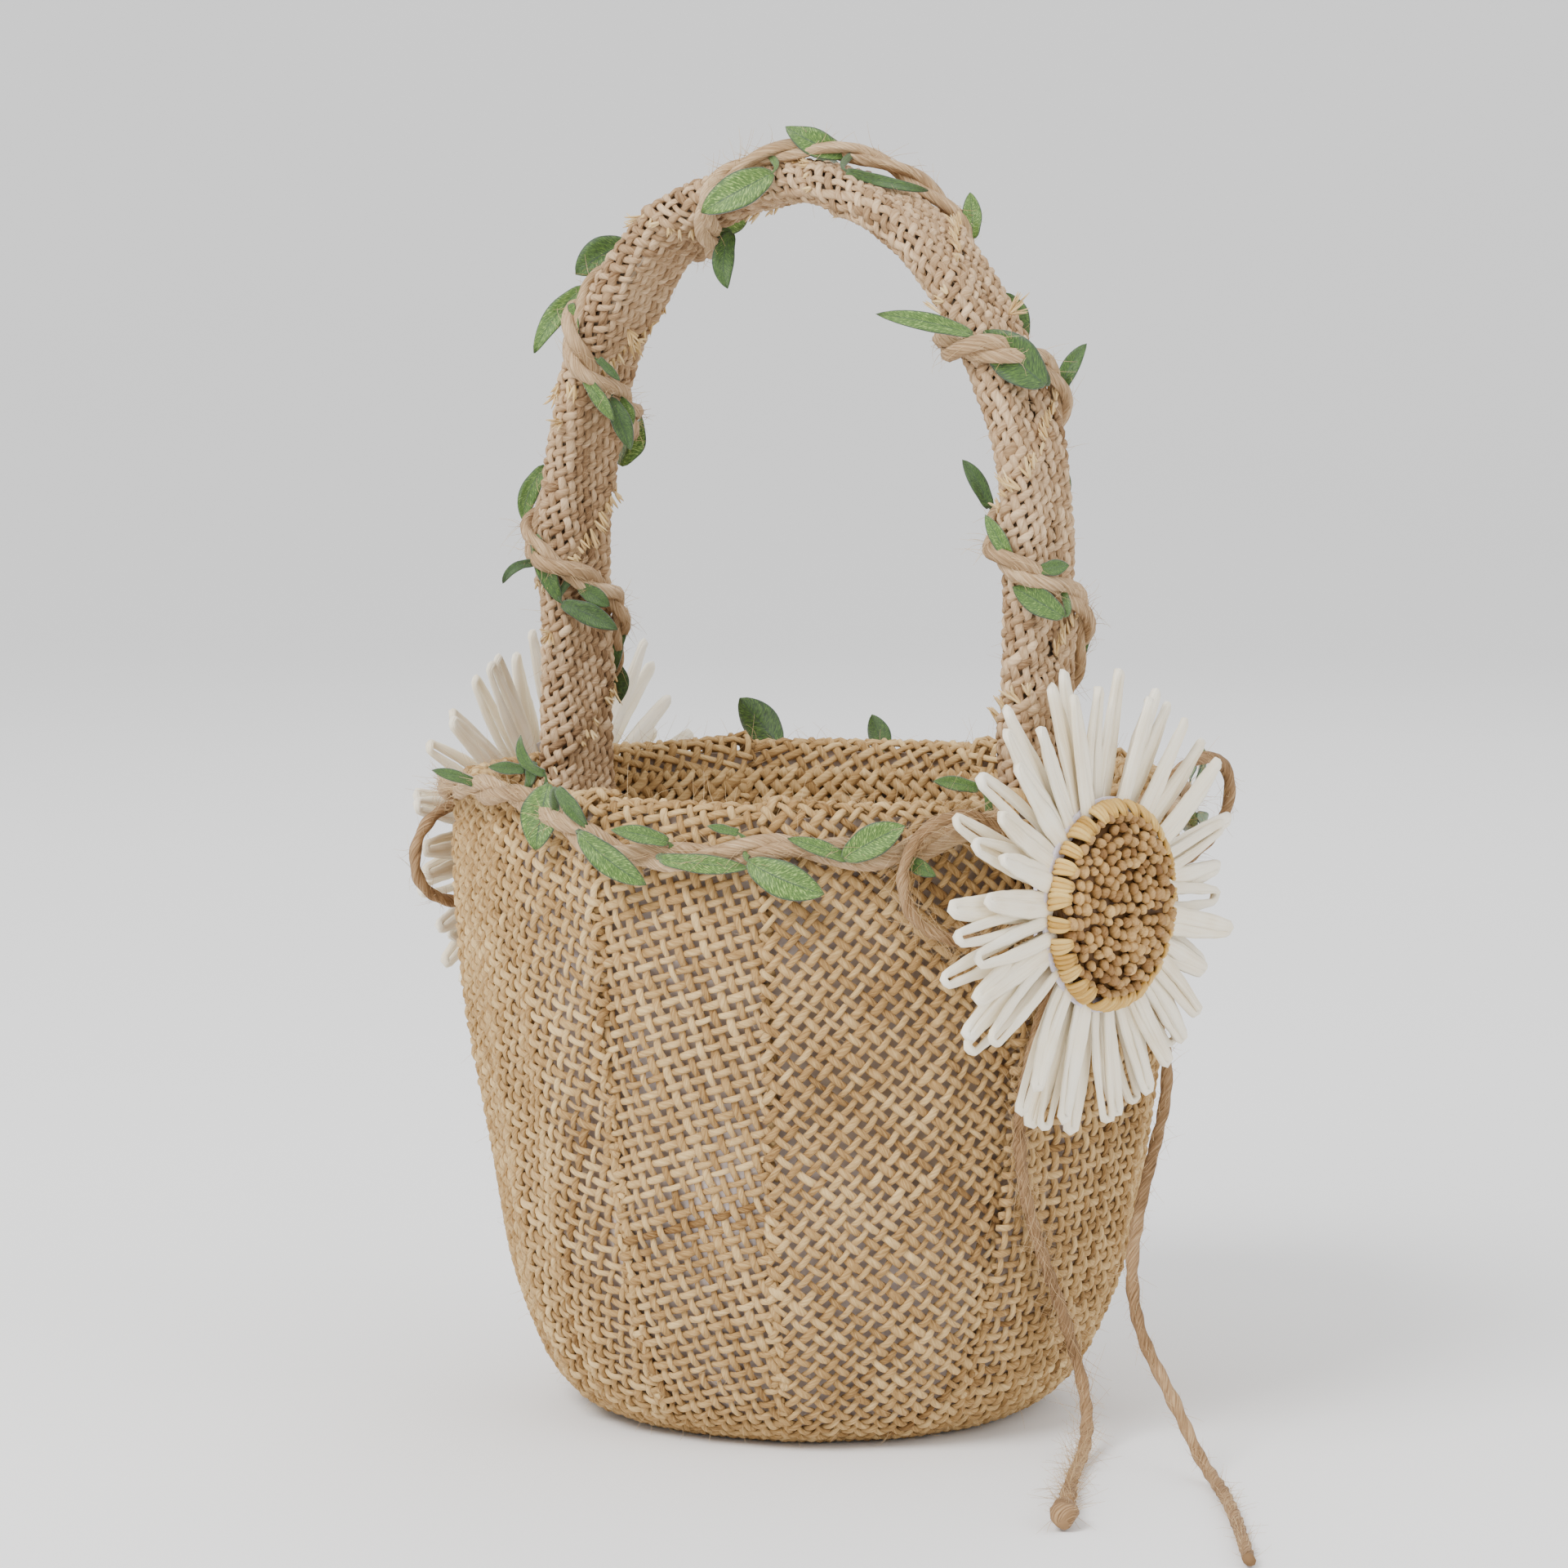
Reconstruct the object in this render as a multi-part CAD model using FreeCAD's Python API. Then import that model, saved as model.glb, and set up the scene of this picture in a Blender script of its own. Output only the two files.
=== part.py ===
import FreeCAD, Part
import math
import os

# Flower girl basket: a burlap-covered bucket with a fixed hoop handle, two leafy twine garlands,
# and a raffia daisy over a twine bow on each side.
# Millimetres, +Z up. The origin is the centre of the base, on the surface the basket stands on.
# The handle stands in the XZ plane; one daisy faces +X and the other faces -X.

Vector = FreeCAD.Vector
UP = Vector(0, 0, 1)

# ---- driving dimensions ----
COVER_T = 1.3          # burlap cover
CORE_T = 2.2           # moulded cup inside the cover
LINING_T = 1.1         # burlap lining
GAP = 0.2              # clearance between layers
RIM_Z = 115.0
RIM_R = 60.6           # middle of the rolled rim
ROLL_R = 2.6           # outer radius of the rolled rim
ROLL_Z = RIM_Z - ROLL_R
TURN_IN_Z = 98.0       # lower edge of the cover turned into the bucket
BOARD_R = 34.0
BOARD_T = 1.5

HANDLE_Y = -5.0        # the handle sits a little in front of the middle
HOOP_HALF_SPAN = 52.5
SPRING_Z = 155.0       # where the legs become the arch
LEG_BOTTOM_Z = 76.0
LEG_BEND_R = 1600.0    # the legs lean in slightly towards the bottom
HAUNCH_R = 73.2
CROWN_R = 44.0
WRAP_W = 16.6
WRAP_T = 6.0
STRIP_W = 13.6
STRIP_T = 2.4

GARLAND_D = 3.8        # two strands of twine twisted together
BOW_TWINE_D = 2.2
LEAF_T = 0.35

FLOWER_Z = 97.0
KNOT_X = 65.05         # plane of the bow's knot, just outside the wall
KNOT_R = 3.4
KNOT_T = 3.6
BACKING_X = 67.1
FLOWER_SIDES = (("right", 1, -12.0), ("left", -1, 10.0))
GLUE_R = 2.0
# Glue under each daisy, as (sideways, up) from its centre, where no twine passes.
GLUE_SPOTS = {"right": ((0.0, 10.4), (12.0, -4.0)), "left": ((0.0, 10.4), (8.0, -10.0))}

# The bucket's outer profile as (radius, height), from the edge of its flat foot to the rim.
PROFILE = [
    (35.5, 0.0), (39.8, 1.5), (43.8, 4.2), (46.8, 8.0), (50.0, 15.0), (55.3, 31.0),
    (59.9, 61.0), (62.6, 84.0), (63.6, 100.0), (63.2, ROLL_Z),
]

# Heights of the rim garland round the wall, as (angle in degrees from +X, height).
FRONT_GARLAND = [
    (-24, 112.0), (-33, 109.5), (-41, 106.6), (-50, 107.4), (-58, 108.2), (-66, 106.6), (-75, 106.0),
    (-84, 106.6), (-92, 110.0), (-99, 113.4), (-109, 114.3), (-120, 114.2), (-132, 113.4), (-144, 111.6),
    (-156, 109.0),
]
BACK_GARLAND = [
    (18, 108.5), (30, 110.4), (43, 109.6), (56, 107.2), (69, 106.0), (82, 106.8), (95, 108.6),
    (108, 109.6), (121, 108.4), (134, 110.0), (147, 109.0), (156, 107.0),
]

# Turns of the handle garland: (distance along the hoop from the -X leg's foot, degrees round the band).
# Zero degrees is the band's outer face and 90 degrees its +Y edge.
HANDLE_TURNS = [
    (43.0, -330), (65.4, -225), (80.6, -45), (102.9, 135), (121.0, 315), (160.7, 630),
    (201.9, 810), (222.2, 945), (233.8, 1125), (258.8, 1305), (272.8, 1485), (297.8, 1590),
]
TURN_STEP = 24.0       # degrees round the band between points of the garland's route

# Leaves on the handle: distance along the hoop, degrees round the band, bearing from the hoop's
# direction, lift off the surface, length, width.
HANDLE_LEAVES = [
    (43, 100, 170, 20, 9, 4.5), (64, -225, 180, 8, 12, 4.5), (66, -112, -100, 8, 10, 4.5),
    (69, -150, -40, 8, 6, 3.5), (73, 0, 170, 70, 6, 2.5), (77, -60, 190, 12, 12, 5),
    (86, 20, 180, 20, 10, 6), (95, 95, 20, 20, 10, 5), (101, -200, 190, 12, 10, 4.5),
    (110, -125, 200, 10, 12, 5), (118, -70, 195, 10, 7, 3.5), (126, -20, 180, 40, 13, 6),
    (136, 0, 175, 38, 9, 6), (143, 85, 30, 22, 9, 5), (151, 180, 150, 65, 10, 5),
    (163, -78, 200, 12, 18, 7.5), (172, 60, 175, 25, 9, 5), (177, -40, 0, 10, 11, 5),
    (182, 30, 180, 50, 11, 5.5), (188, -35, -8, 8, 11, 4.5), (197, 170, 20, 30, 9, 4.5),
    (208, 70, 180, 40, 9, 4.5), (222, -135, 150, 75, 16, 4.5), (225, -50, 40, 12, 12.5, 7),
    (236, 50, 170, 55, 10, 4.5), (245, 120, 10, 20, 9, 4.5), (254, -150, 180, 30, 9, 4.5),
    (258, -115, 15, 12, 9, 4), (263, -10, 80, 12, 6, 4), (267, -80, 40, 12, 10, 5),
    (279, 55, 180, 18, 11, 4), (285, 75, -5, 15, 7, 3.5), (292, 150, 10, 20, 8, 4),
]

# Leaves on the rim: angle, height, bearing in the wall (0 towards larger angles, 90 up), lift,
# length, width.
RIM_LEAVES = [
    (-30, 104.0, 10, 8, 8, 3.5), (-47, 104.0, 195, 8, 11, 6.5), (-60, 112.0, 15, 8, 9, 3.5),
    (-61, 104.5, -30, 8, 14, 6), (-74, 105.0, 0, 8, 14, 3.5),
    (-83, 108.0, 12, 10, 9, 4), (-86, 104.6, -25, 8, 10.5, 4.5), (-93, 110.0, -35, 10, 8, 3.5),
    (-95.5, 110.5, -105, 8, 11, 8), (-97.5, 115.0, 125, 15, 9, 3), (-112, 114.0, 5, 12, 10, 3.5),
    (-122, 114.0, 178, 20, 11, 4), (-133, 111.0, -40, 10, 9, 4.5), (-147, 109.5, 150, 12, 9, 4.5),
    (24, 112.0, 70, 10, 9, 4.5), (33, 107.0, -30, 8, 10, 5), (46, 110.5, 30, 10, 9, 4),
    (55, 104.5, 190, 8, 10, 5), (68, 103.5, -25, 8, 12, 5.5), (79, 107.5, 35, 10, 9, 4.5),
    (90, 105.5, 200, 8, 10, 5), (103, 107.0, -30, 8, 11, 5), (117, 111.5, 70, 12, 8, 4.5),
    (128, 106.0, 205, 8, 10, 5), (134, 113.0, 35, 12, 10, 6), (148, 106.0, -20, 8, 9, 4.5),
]

# Routes of the bows' twine, drawn for the daisy on the +X side.
FREE_LOOP = {
    "right": [
        (65.05, -9.2, 100.3), (65.2, -3.0, 106.0), (65.6, 5.0, 111.2), (66.0, 13.5, 115.4),
        (66.0, 21.5, 118.4), (66.0, 28.5, 119.2), (66.0, 33.6, 116.6), (66.0, 34.8, 111.6),
        (66.0, 31.8, 106.6), (65.9, 25.6, 102.8), (65.6, 17.6, 100.4), (65.3, 9.0, 98.8),
        (65.1, 0.6, 97.8), (65.05, -8.0, 97.5),
    ],
    "left": [
        (65.05, -9.2, 100.3), (65.2, -2.4, 102.6), (65.5, 5.6, 104.8), (65.7, 14.0, 106.2),
        (65.8, 22.4, 106.6), (65.8, 29.6, 105.0), (65.8, 34.4, 100.6), (65.8, 35.0, 95.0),
        (65.8, 31.6, 90.6), (65.7, 25.0, 88.2), (65.5, 17.0, 88.0), (65.3, 9.0, 90.0),
        (65.1, 1.0, 93.4), (65.05, -8.2, 96.6),
    ],
}
WALL_LOOP = [
    (65.05, -14.8, 100.3), (65.0, -20.0, 104.6), (64.0, -26.5, 109.4), (61.8, -32.6, 112.8),
    (58.6, -38.2, 113.6), (55.4, -42.6, 111.0), (53.6, -44.8, 106.2), (53.4, -45.2, 100.6),
    (54.8, -43.4, 95.6), (58.0, -38.6, 92.4), (61.4, -32.0, 91.6), (63.8, -25.0, 93.4),
    (65.05, -16.0, 96.9),
]
OUTER_TAIL = {
    "right": [
        (65.05, -10.0, 94.0), (65.1, -7.0, 88.0), (65.3, -1.6, 82.4), (65.6, 5.6, 78.0),
        (65.9, 12.4, 73.6), (66.1, 15.4, 66.4), (66.3, 14.4, 58.8), (66.7, 10.8, 52.2),
        (67.4, 6.8, 45.8), (68.4, 2.6, 39.0), (70.0, -1.2, 32.2), (72.8, -4.0, 25.6),
        (76.8, -6.2, 20.0), (81.6, -7.4, 14.6), (86.2, -8.4, 8.6), (90.0, -9.4, 3.4),
        (95.8, -13.6, 1.3), (104.4, -23.0, 1.3), (113.6, -34.0, 1.3), (122.6, -45.4, 1.3),
        (132.0, -57.6, 1.3),
    ],
    "left": [
        (65.05, -10.0, 94.0), (65.5, -8.6, 85.0), (66.0, -8.0, 73.0), (66.6, -8.6, 60.0),
        (67.4, -10.2, 47.0), (68.4, -12.6, 34.0), (69.4, -15.4, 22.0), (70.4, -18.6, 11.6),
        (71.0, -22.6, 4.2), (70.6, -29.6, 1.3), (67.4, -39.6, 1.3), (60.8, -50.0, 1.3),
        (50.8, -59.4, 1.3), (38.6, -66.6, 1.3), (25.0, -71.0, 1.3),
    ],
}
INNER_TAIL = {
    "right": [
        (65.05, -14.2, 94.1), (64.6, -16.2, 88.0), (63.8, -18.4, 80.6), (62.4, -20.4, 71.6),
        (60.6, -21.2, 62.0), (59.6, -19.8, 52.0), (59.2, -16.2, 42.6), (58.8, -11.2, 33.8),
        (58.0, -5.8, 26.0), (57.4, -1.4, 18.6), (58.6, 0.2, 12.0), (62.4, -3.2, 6.6),
        (66.4, -9.2, 3.0), (70.2, -16.2, 1.3), (75.4, -25.8, 1.3), (82.0, -36.2, 1.3),
        (88.6, -46.4, 1.3),
    ],
    "left": [
        (65.05, -14.2, 94.1), (64.4, -16.6, 87.0), (62.8, -19.6, 77.0), (61.2, -22.4, 66.0),
        (60.2, -24.6, 54.6), (59.2, -26.6, 43.0), (58.2, -28.6, 31.6), (57.4, -31.0, 20.6),
        (56.8, -34.0, 10.6), (55.2, -38.0, 3.6), (50.4, -42.6, 1.3), (43.2, -48.8, 1.3),
        (33.8, -55.0, 1.3), (23.2, -59.6, 1.3), (12.6, -62.6, 1.3),
    ],
}
TAIL_KNOT_LENGTH = 12.0
TAIL_KNOT_R = 2.4


# ---- general helpers ----
def save(name, shape):
    if not shape.isValid():
        print("invalid shape", name)
    shape.exportStep("parts/%s.step" % name)
    print("%-26s solids %3d volume %9.1f" % (name, len(shape.Solids), shape.Volume))


def inset(depth):
    """The bucket's profile moved inwards by depth along its normal."""
    moved = []
    last = len(PROFILE) - 1
    for i, (r, z) in enumerate(PROFILE):
        r0, z0 = PROFILE[max(i - 1, 0)]
        r1, z1 = PROFILE[min(i + 1, last)]
        run = math.hypot(r1 - r0, z1 - z0)
        if i == 0:
            moved.append((r - depth * 0.3, z + depth))
        else:
            moved.append((r - depth * (z1 - z0) / run, z + depth * (r1 - r0) / run))
    return moved


def wall_radius(z):
    """Outer radius of the bucket at height z, between the profile's points."""
    for (r0, z0), (r1, z1) in zip(PROFILE, PROFILE[1:]):
        if z0 <= z <= z1:
            return r0 + (r1 - r0) * (z - z0) / (z1 - z0)
    return PROFILE[-1][0]


def curve(points):
    line = Part.BSplineCurve()
    line.interpolate([Vector(r, 0, z) for r, z in points])
    return line.toShape()


def line(a, b):
    return Part.LineSegment(Vector(a[0], 0, a[1]), Vector(b[0], 0, b[1])).toShape()


def arc(a, middle, b):
    return Part.Arc(
        Vector(a[0], 0, a[1]), Vector(middle[0], 0, middle[1]), Vector(b[0], 0, b[1])
    ).toShape()


def revolve(edges):
    face = Part.Face(Part.Wire(Part.__sortEdges__(edges)))
    solid = face.revolve(Vector(0, 0, 0), UP, 360)
    return solid if solid.Volume > 0 else solid.reversed()


def disc(radius, thickness, centre, axis):
    return Part.makeCylinder(radius, thickness, centre, axis)


def tangent_route(points, name=None):
    """Straight runs joined by tangent arcs, each as large as its two runs allow."""
    stops = [Vector(*p) for p in points]
    edges = []
    start = stops[0]
    radii = []
    for before, here, after in zip(stops, stops[1:], stops[2:]):
        back = before - here
        ahead = after - here
        reach = 0.45 * min(back.Length, ahead.Length)
        back.normalize()
        ahead.normalize()
        half_turn = (math.pi - back.getAngle(ahead)) / 2
        radius = reach / math.tan(half_turn)
        radii.append(radius)
        enter = here + back * reach
        leave = here + ahead * reach
        inward = back + ahead
        inward.normalize()
        depth = radius / math.cos(half_turn) - radius
        edges.append(Part.LineSegment(start, enter).toShape())
        edges.append(Part.Arc(enter, here + inward * depth, leave).toShape())
        start = leave
    edges.append(Part.LineSegment(start, stops[-1]).toShape())
    route = Part.Wire(edges)
    if name:
        print("%-26s length %6.1f smallest radius %5.1f" % (name, route.Length, min(radii)))
    return route


def tube(points, diameter, name):
    route = tangent_route(points, name)
    first = Vector(*points[0])
    along = Vector(*points[1]) - first
    ring = Part.Wire(Part.Circle(first, along, diameter / 2).toShape())
    solid = route.makePipeShell([ring], True, False)
    want = math.pi * diameter * diameter / 4 * route.Length
    if abs(solid.Volume - want) > 0.01 * want:
        print("volume of", name, "is", solid.Volume, "and should be", want)
    return solid


def leaf(base, along, normal, length, width):
    """A thin leaf: two arcs meeting in a point at each end."""
    along.normalize()
    side = normal.cross(along)
    side.normalize()
    tip = base + along * length
    middle = base + along * (0.45 * length)
    left = Part.Arc(base, middle + side * (width / 2), tip).toShape()
    right = Part.Arc(base, middle - side * (width / 2), tip).toShape()
    face = Part.Face(Part.Wire([left, right]))
    return face.extrude(along.cross(side) * LEAF_T)


def lifted_leaf(base, forward, sideways, outward, leaf_sizes):
    """A leaf that starts at base and leaves the surface at a bearing and a lift."""
    bearing, lift, length, width = leaf_sizes
    turn = math.radians(bearing)
    rise = math.radians(lift)
    flat = forward * math.cos(turn) + sideways * math.sin(turn)
    along = flat * math.cos(rise) + outward * math.sin(rise)
    normal = outward * math.cos(rise) - flat * math.sin(rise)
    return leaf(base, along, normal, length, width)


# ---- bucket ----
def bucket_nodes():
    outer = inset(0)
    inner = inset(COVER_T)
    roll_inside = ROLL_R - COVER_T
    turn_outer_r = RIM_R - roll_inside
    turn_inner_r = RIM_R - ROLL_R
    inner[-1] = (RIM_R + roll_inside, ROLL_Z)
    cover = [
        line((0, 0), outer[0]),
        curve(outer),
        arc(outer[-1], (RIM_R, RIM_Z), (turn_inner_r, ROLL_Z)),
        line((turn_inner_r, ROLL_Z), (turn_inner_r + 0.3, TURN_IN_Z)),
        line((turn_inner_r + 0.3, TURN_IN_Z), (turn_outer_r + 0.3, TURN_IN_Z)),
        line((turn_outer_r + 0.3, TURN_IN_Z), (turn_outer_r, ROLL_Z)),
        arc((turn_outer_r, ROLL_Z), (RIM_R, ROLL_Z + roll_inside), inner[-1]),
        curve(inner),
        line(inner[0], (0, COVER_T)),
        line((0, COVER_T), (0, 0)),
    ]
    save("outer_cover", revolve(cover))

    cup_out = inset(COVER_T + GAP)
    cup_in = inset(COVER_T + GAP + CORE_T)
    cup_out[-1] = (RIM_R + roll_inside - GAP, ROLL_Z)
    cup_in[-1] = (RIM_R - roll_inside + GAP, ROLL_Z)
    cup = [
        line((0, cup_out[0][1]), cup_out[0]),
        curve(cup_out),
        line(cup_out[-1], cup_in[-1]),
        curve(cup_in),
        line(cup_in[0], (0, cup_in[0][1])),
        line((0, cup_in[0][1]), (0, cup_out[0][1])),
    ]
    save("bucket_core", revolve(cup))

    board_z = cup_in[0][1] + GAP
    save("base_board", disc(BOARD_R, BOARD_T, Vector(0, 0, board_z), UP))

    floor_z = board_z + BOARD_T + GAP
    lining_out = COVER_T + CORE_T + COVER_T + 4 * GAP
    lining_foot = 8.0
    lining_top = RIM_Z - 5.0
    wall = [(wall_radius(z) - lining_out, z) for z in (lining_foot, 15, 31, 61, 84, 100, lining_top)]
    lining = [
        curve(wall),
        line(wall[-1], (wall[-1][0] - LINING_T, lining_top)),
        curve([(r - LINING_T, z) for r, z in wall]),
        line(wall[0], (wall[0][0] - LINING_T, lining_foot)),
    ]
    save("inner_lining", revolve(lining))
    save("lining_floor", disc(wall[0][0] - 1.8, LINING_T, Vector(0, 0, floor_z), UP))
    return wall_radius(86.0) - lining_out - LINING_T


# ---- handle ----
def hoop_angles():
    """Half of the crown's arc and of each haunch's arc, in radians."""
    haunch_centre = Vector(HOOP_HALF_SPAN - HAUNCH_R, 0, SPRING_Z)
    crown_centre = Vector(0, 0, 0)
    rise = math.sqrt((HAUNCH_R - CROWN_R) ** 2 - haunch_centre.x ** 2)
    crown_centre.z = SPRING_Z + rise
    haunch = math.atan2(rise, -haunch_centre.x)
    return haunch, math.pi / 2 - haunch, haunch_centre.x, crown_centre.z


def hoop_point(distance):
    """A point of the hoop's middle line, its direction and its outward normal."""
    haunch, crown, haunch_x, crown_z = hoop_angles()
    leg = SPRING_Z - LEG_BOTTOM_Z
    half = leg + HAUNCH_R * haunch + CROWN_R * crown
    from_left = distance <= half
    run = distance if from_left else 2 * half - distance
    if run < leg:
        drop = leg - run
        x = HOOP_HALF_SPAN - drop * drop / (2 * LEG_BEND_R)
        z = SPRING_Z - drop
        angle = -drop / LEG_BEND_R
    elif run < leg + HAUNCH_R * haunch:
        angle = (run - leg) / HAUNCH_R
        x = haunch_x + HAUNCH_R * math.cos(angle)
        z = SPRING_Z + HAUNCH_R * math.sin(angle)
    else:
        angle = haunch + (run - leg - HAUNCH_R * haunch) / CROWN_R
        x = CROWN_R * math.cos(angle)
        z = crown_z + CROWN_R * math.sin(angle)
    side = -1 if from_left else 1
    outward = Vector(side * math.cos(angle), 0, math.sin(angle))
    direction = Vector(math.sin(angle), 0, math.cos(angle) * (1 if from_left else -1))
    return Vector(side * x, HANDLE_Y, z), direction, outward


def hoop_pieces(shorter):
    """The hoop's arcs as (centre x, centre z, radius, start angle, end angle), from the +X foot."""
    haunch, crown, haunch_x, crown_z = hoop_angles()
    leg = (SPRING_Z - LEG_BOTTOM_Z - shorter) / LEG_BEND_R
    leg_x = HOOP_HALF_SPAN - LEG_BEND_R
    return [
        (leg_x, SPRING_Z, LEG_BEND_R, -leg, 0),
        (haunch_x, SPRING_Z, HAUNCH_R, 0, haunch),
        (0, crown_z, CROWN_R, haunch, math.pi - haunch),
        (-haunch_x, SPRING_Z, HAUNCH_R, math.pi - haunch, math.pi),
        (-leg_x, SPRING_Z, LEG_BEND_R, math.pi, math.pi + leg),
    ]


def flat_section(middle, outward, width, thickness):
    high = outward * (thickness / 2)
    wide = Vector(0, width / 2, 0)
    corners = [middle + high + wide, middle - high + wide, middle - high - wide, middle + high - wide]
    return Part.makePolygon(corners + corners[:1])


def round_section(middle, outward, width, thickness):
    """A flat band's section with half-round edges."""
    high = outward * (thickness / 2)
    flat = Vector(0, (width - thickness) / 2, 0)
    edge = Vector(0, width / 2, 0)
    return Part.Wire([
        Part.LineSegment(middle - flat + high, middle + flat + high).toShape(),
        Part.Arc(middle + flat + high, middle + edge, middle + flat - high).toShape(),
        Part.LineSegment(middle + flat - high, middle - flat - high).toShape(),
        Part.Arc(middle - flat - high, middle - edge, middle - flat + high).toShape(),
    ])


def along_hoop(shorter, section):
    """The solid with that section all the way along the hoop."""
    pieces = []
    for x, z, radius, start, end in hoop_pieces(shorter):
        centre = Vector(x, HANDLE_Y, z)
        outward = Vector(math.cos(start), 0, math.sin(start))
        face = section(centre + outward * radius, outward)
        pieces.append(face.revolve(centre, Vector(0, -1, 0), math.degrees(end - start)))
    return pieces[0].multiFuse(pieces[1:])


def handle_nodes(inner_wall):
    def strip(middle, outward):
        return Part.Face(flat_section(middle, outward, STRIP_W, STRIP_T))

    def sleeve(middle, outward):
        around = round_section(middle, outward, WRAP_W, WRAP_T)
        hollow = flat_section(middle, outward, STRIP_W + 2 * GAP, STRIP_T + 2 * GAP)
        return Part.Face(around).cut(Part.Face(hollow)).Faces[0]

    save("handle_strip", along_hoop(1.0, strip))
    save("handle_wrap", along_hoop(0.0, sleeve))

    pad_low, pad_high = 86.0, 98.0
    for name, side, _ in FLOWER_SIDES:
        drop = SPRING_Z - pad_high
        outer_face = HOOP_HALF_SPAN - drop * drop / (2 * LEG_BEND_R) + WRAP_T / 2 + 0.05
        block = Part.makeBox(8, 8, pad_high - pad_low, Vector(outer_face, HANDLE_Y - 2.5, pad_low))
        room = Part.makeCylinder(inner_wall - 0.1, RIM_Z)
        pad = block.common(room)
        if side < 0:
            pad = pad.mirror(Vector(0, 0, 0), Vector(1, 0, 0))
        save("handle_glue_%s" % name, pad)


def band_place(distance, degrees, clear):
    """A point round the handle, clear of its wrap, with its outward and sideways directions."""
    centre, direction, outward = hoop_point(distance)
    across = Vector(0, 1, 0)
    turn = math.radians(degrees)
    thin = WRAP_T / 2 + 2.0 + clear
    wide = WRAP_W / 2 + 1.1 + clear
    place = centre + outward * (thin * math.cos(turn)) + across * (wide * math.sin(turn))
    away = outward * (math.cos(turn) / thin) + across * (math.sin(turn) / wide)
    away.normalize()
    return place, direction, away


def handle_garland_nodes():
    route = []
    for (s0, a0), (s1, a1) in zip(HANDLE_TURNS, HANDLE_TURNS[1:]):
        steps = max(1, round((a1 - a0) / TURN_STEP))
        for i in range(steps):
            share = i / steps
            place, _, _ = band_place(s0 + (s1 - s0) * share, a0 + (a1 - a0) * share, GARLAND_D / 2)
            route.append(tuple(place))
    place, _, _ = band_place(*HANDLE_TURNS[-1], GARLAND_D / 2)
    route.append(tuple(place))
    save("handle_garland_twine", tube(route, GARLAND_D, "handle_garland_twine"))

    leaves = []
    for distance, degrees, *sizes in HANDLE_LEAVES:
        base, direction, away = band_place(distance, degrees, GARLAND_D + 0.6)
        leaves.append(lifted_leaf(base, direction, direction.cross(away) * -1, away, sizes))
    save("handle_garland_leaves", Part.makeCompound(leaves))


# ---- rim garland ----
def rim_place(degrees, z, clear):
    turn = math.radians(degrees)
    away = Vector(math.cos(turn), math.sin(turn), 0)
    return away * (63.7 + clear) + UP * z, away


def rim_garland_nodes():
    for name, heights in (("front", FRONT_GARLAND), ("back", BACK_GARLAND)):
        route = [tuple(rim_place(a, z, GARLAND_D / 2 + 0.4)[0]) for a, z in heights]
        node = "rim_garland_twine_%s" % name
        save(node, tube(route, GARLAND_D, node))
    for name, wanted in (("front", -1), ("back", 1)):
        leaves = []
        for degrees, z, *sizes in RIM_LEAVES:
            if degrees * wanted > 0:
                base, away = rim_place(degrees, z, GARLAND_D + 0.8)
                leaves.append(lifted_leaf(base, UP.cross(away), UP, away, sizes))
        save("rim_garland_leaves_%s" % name, Part.makeCompound(leaves))


# ---- daisies and bows ----
def petal_layer(x, thickness, count, tip_r, width, first_turn, centre_y):
    """One layer of raffia petals on a hub ring, facing +X."""
    axis = Vector(1, 0, 0)
    centre = Vector(x, centre_y, FLOWER_Z)
    hub = disc(11.0, thickness, centre, axis).cut(disc(6.0, thickness, centre, axis))
    petals = []
    for i in range(count):
        reach = tip_r * (1.0 - 0.04 * (i % 3))
        tip = width / 2
        petal = Part.makeBox(thickness, width, reach - tip - 9, Vector(x, centre_y - tip, FLOWER_Z + 9))
        petal = petal.fuse(disc(tip, thickness, Vector(x, centre_y, FLOWER_Z + reach - tip), axis))
        petal.rotate(centre, axis, first_turn + i * 360.0 / count)
        petals.append(petal)
    return hub.multiFuse(petals).removeSplitter()


def knot(centre, axis, radius, thickness):
    body = disc(radius, thickness, centre - axis * (thickness / 2), axis)
    return body.makeFillet(thickness * 0.42, body.Edges)


def placed(shape, side):
    """Turns a shape made for the +X daisy round to the -X side."""
    if side < 0:
        shape.rotate(Vector(0, 0, 0), UP, 180)
    return shape


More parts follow.
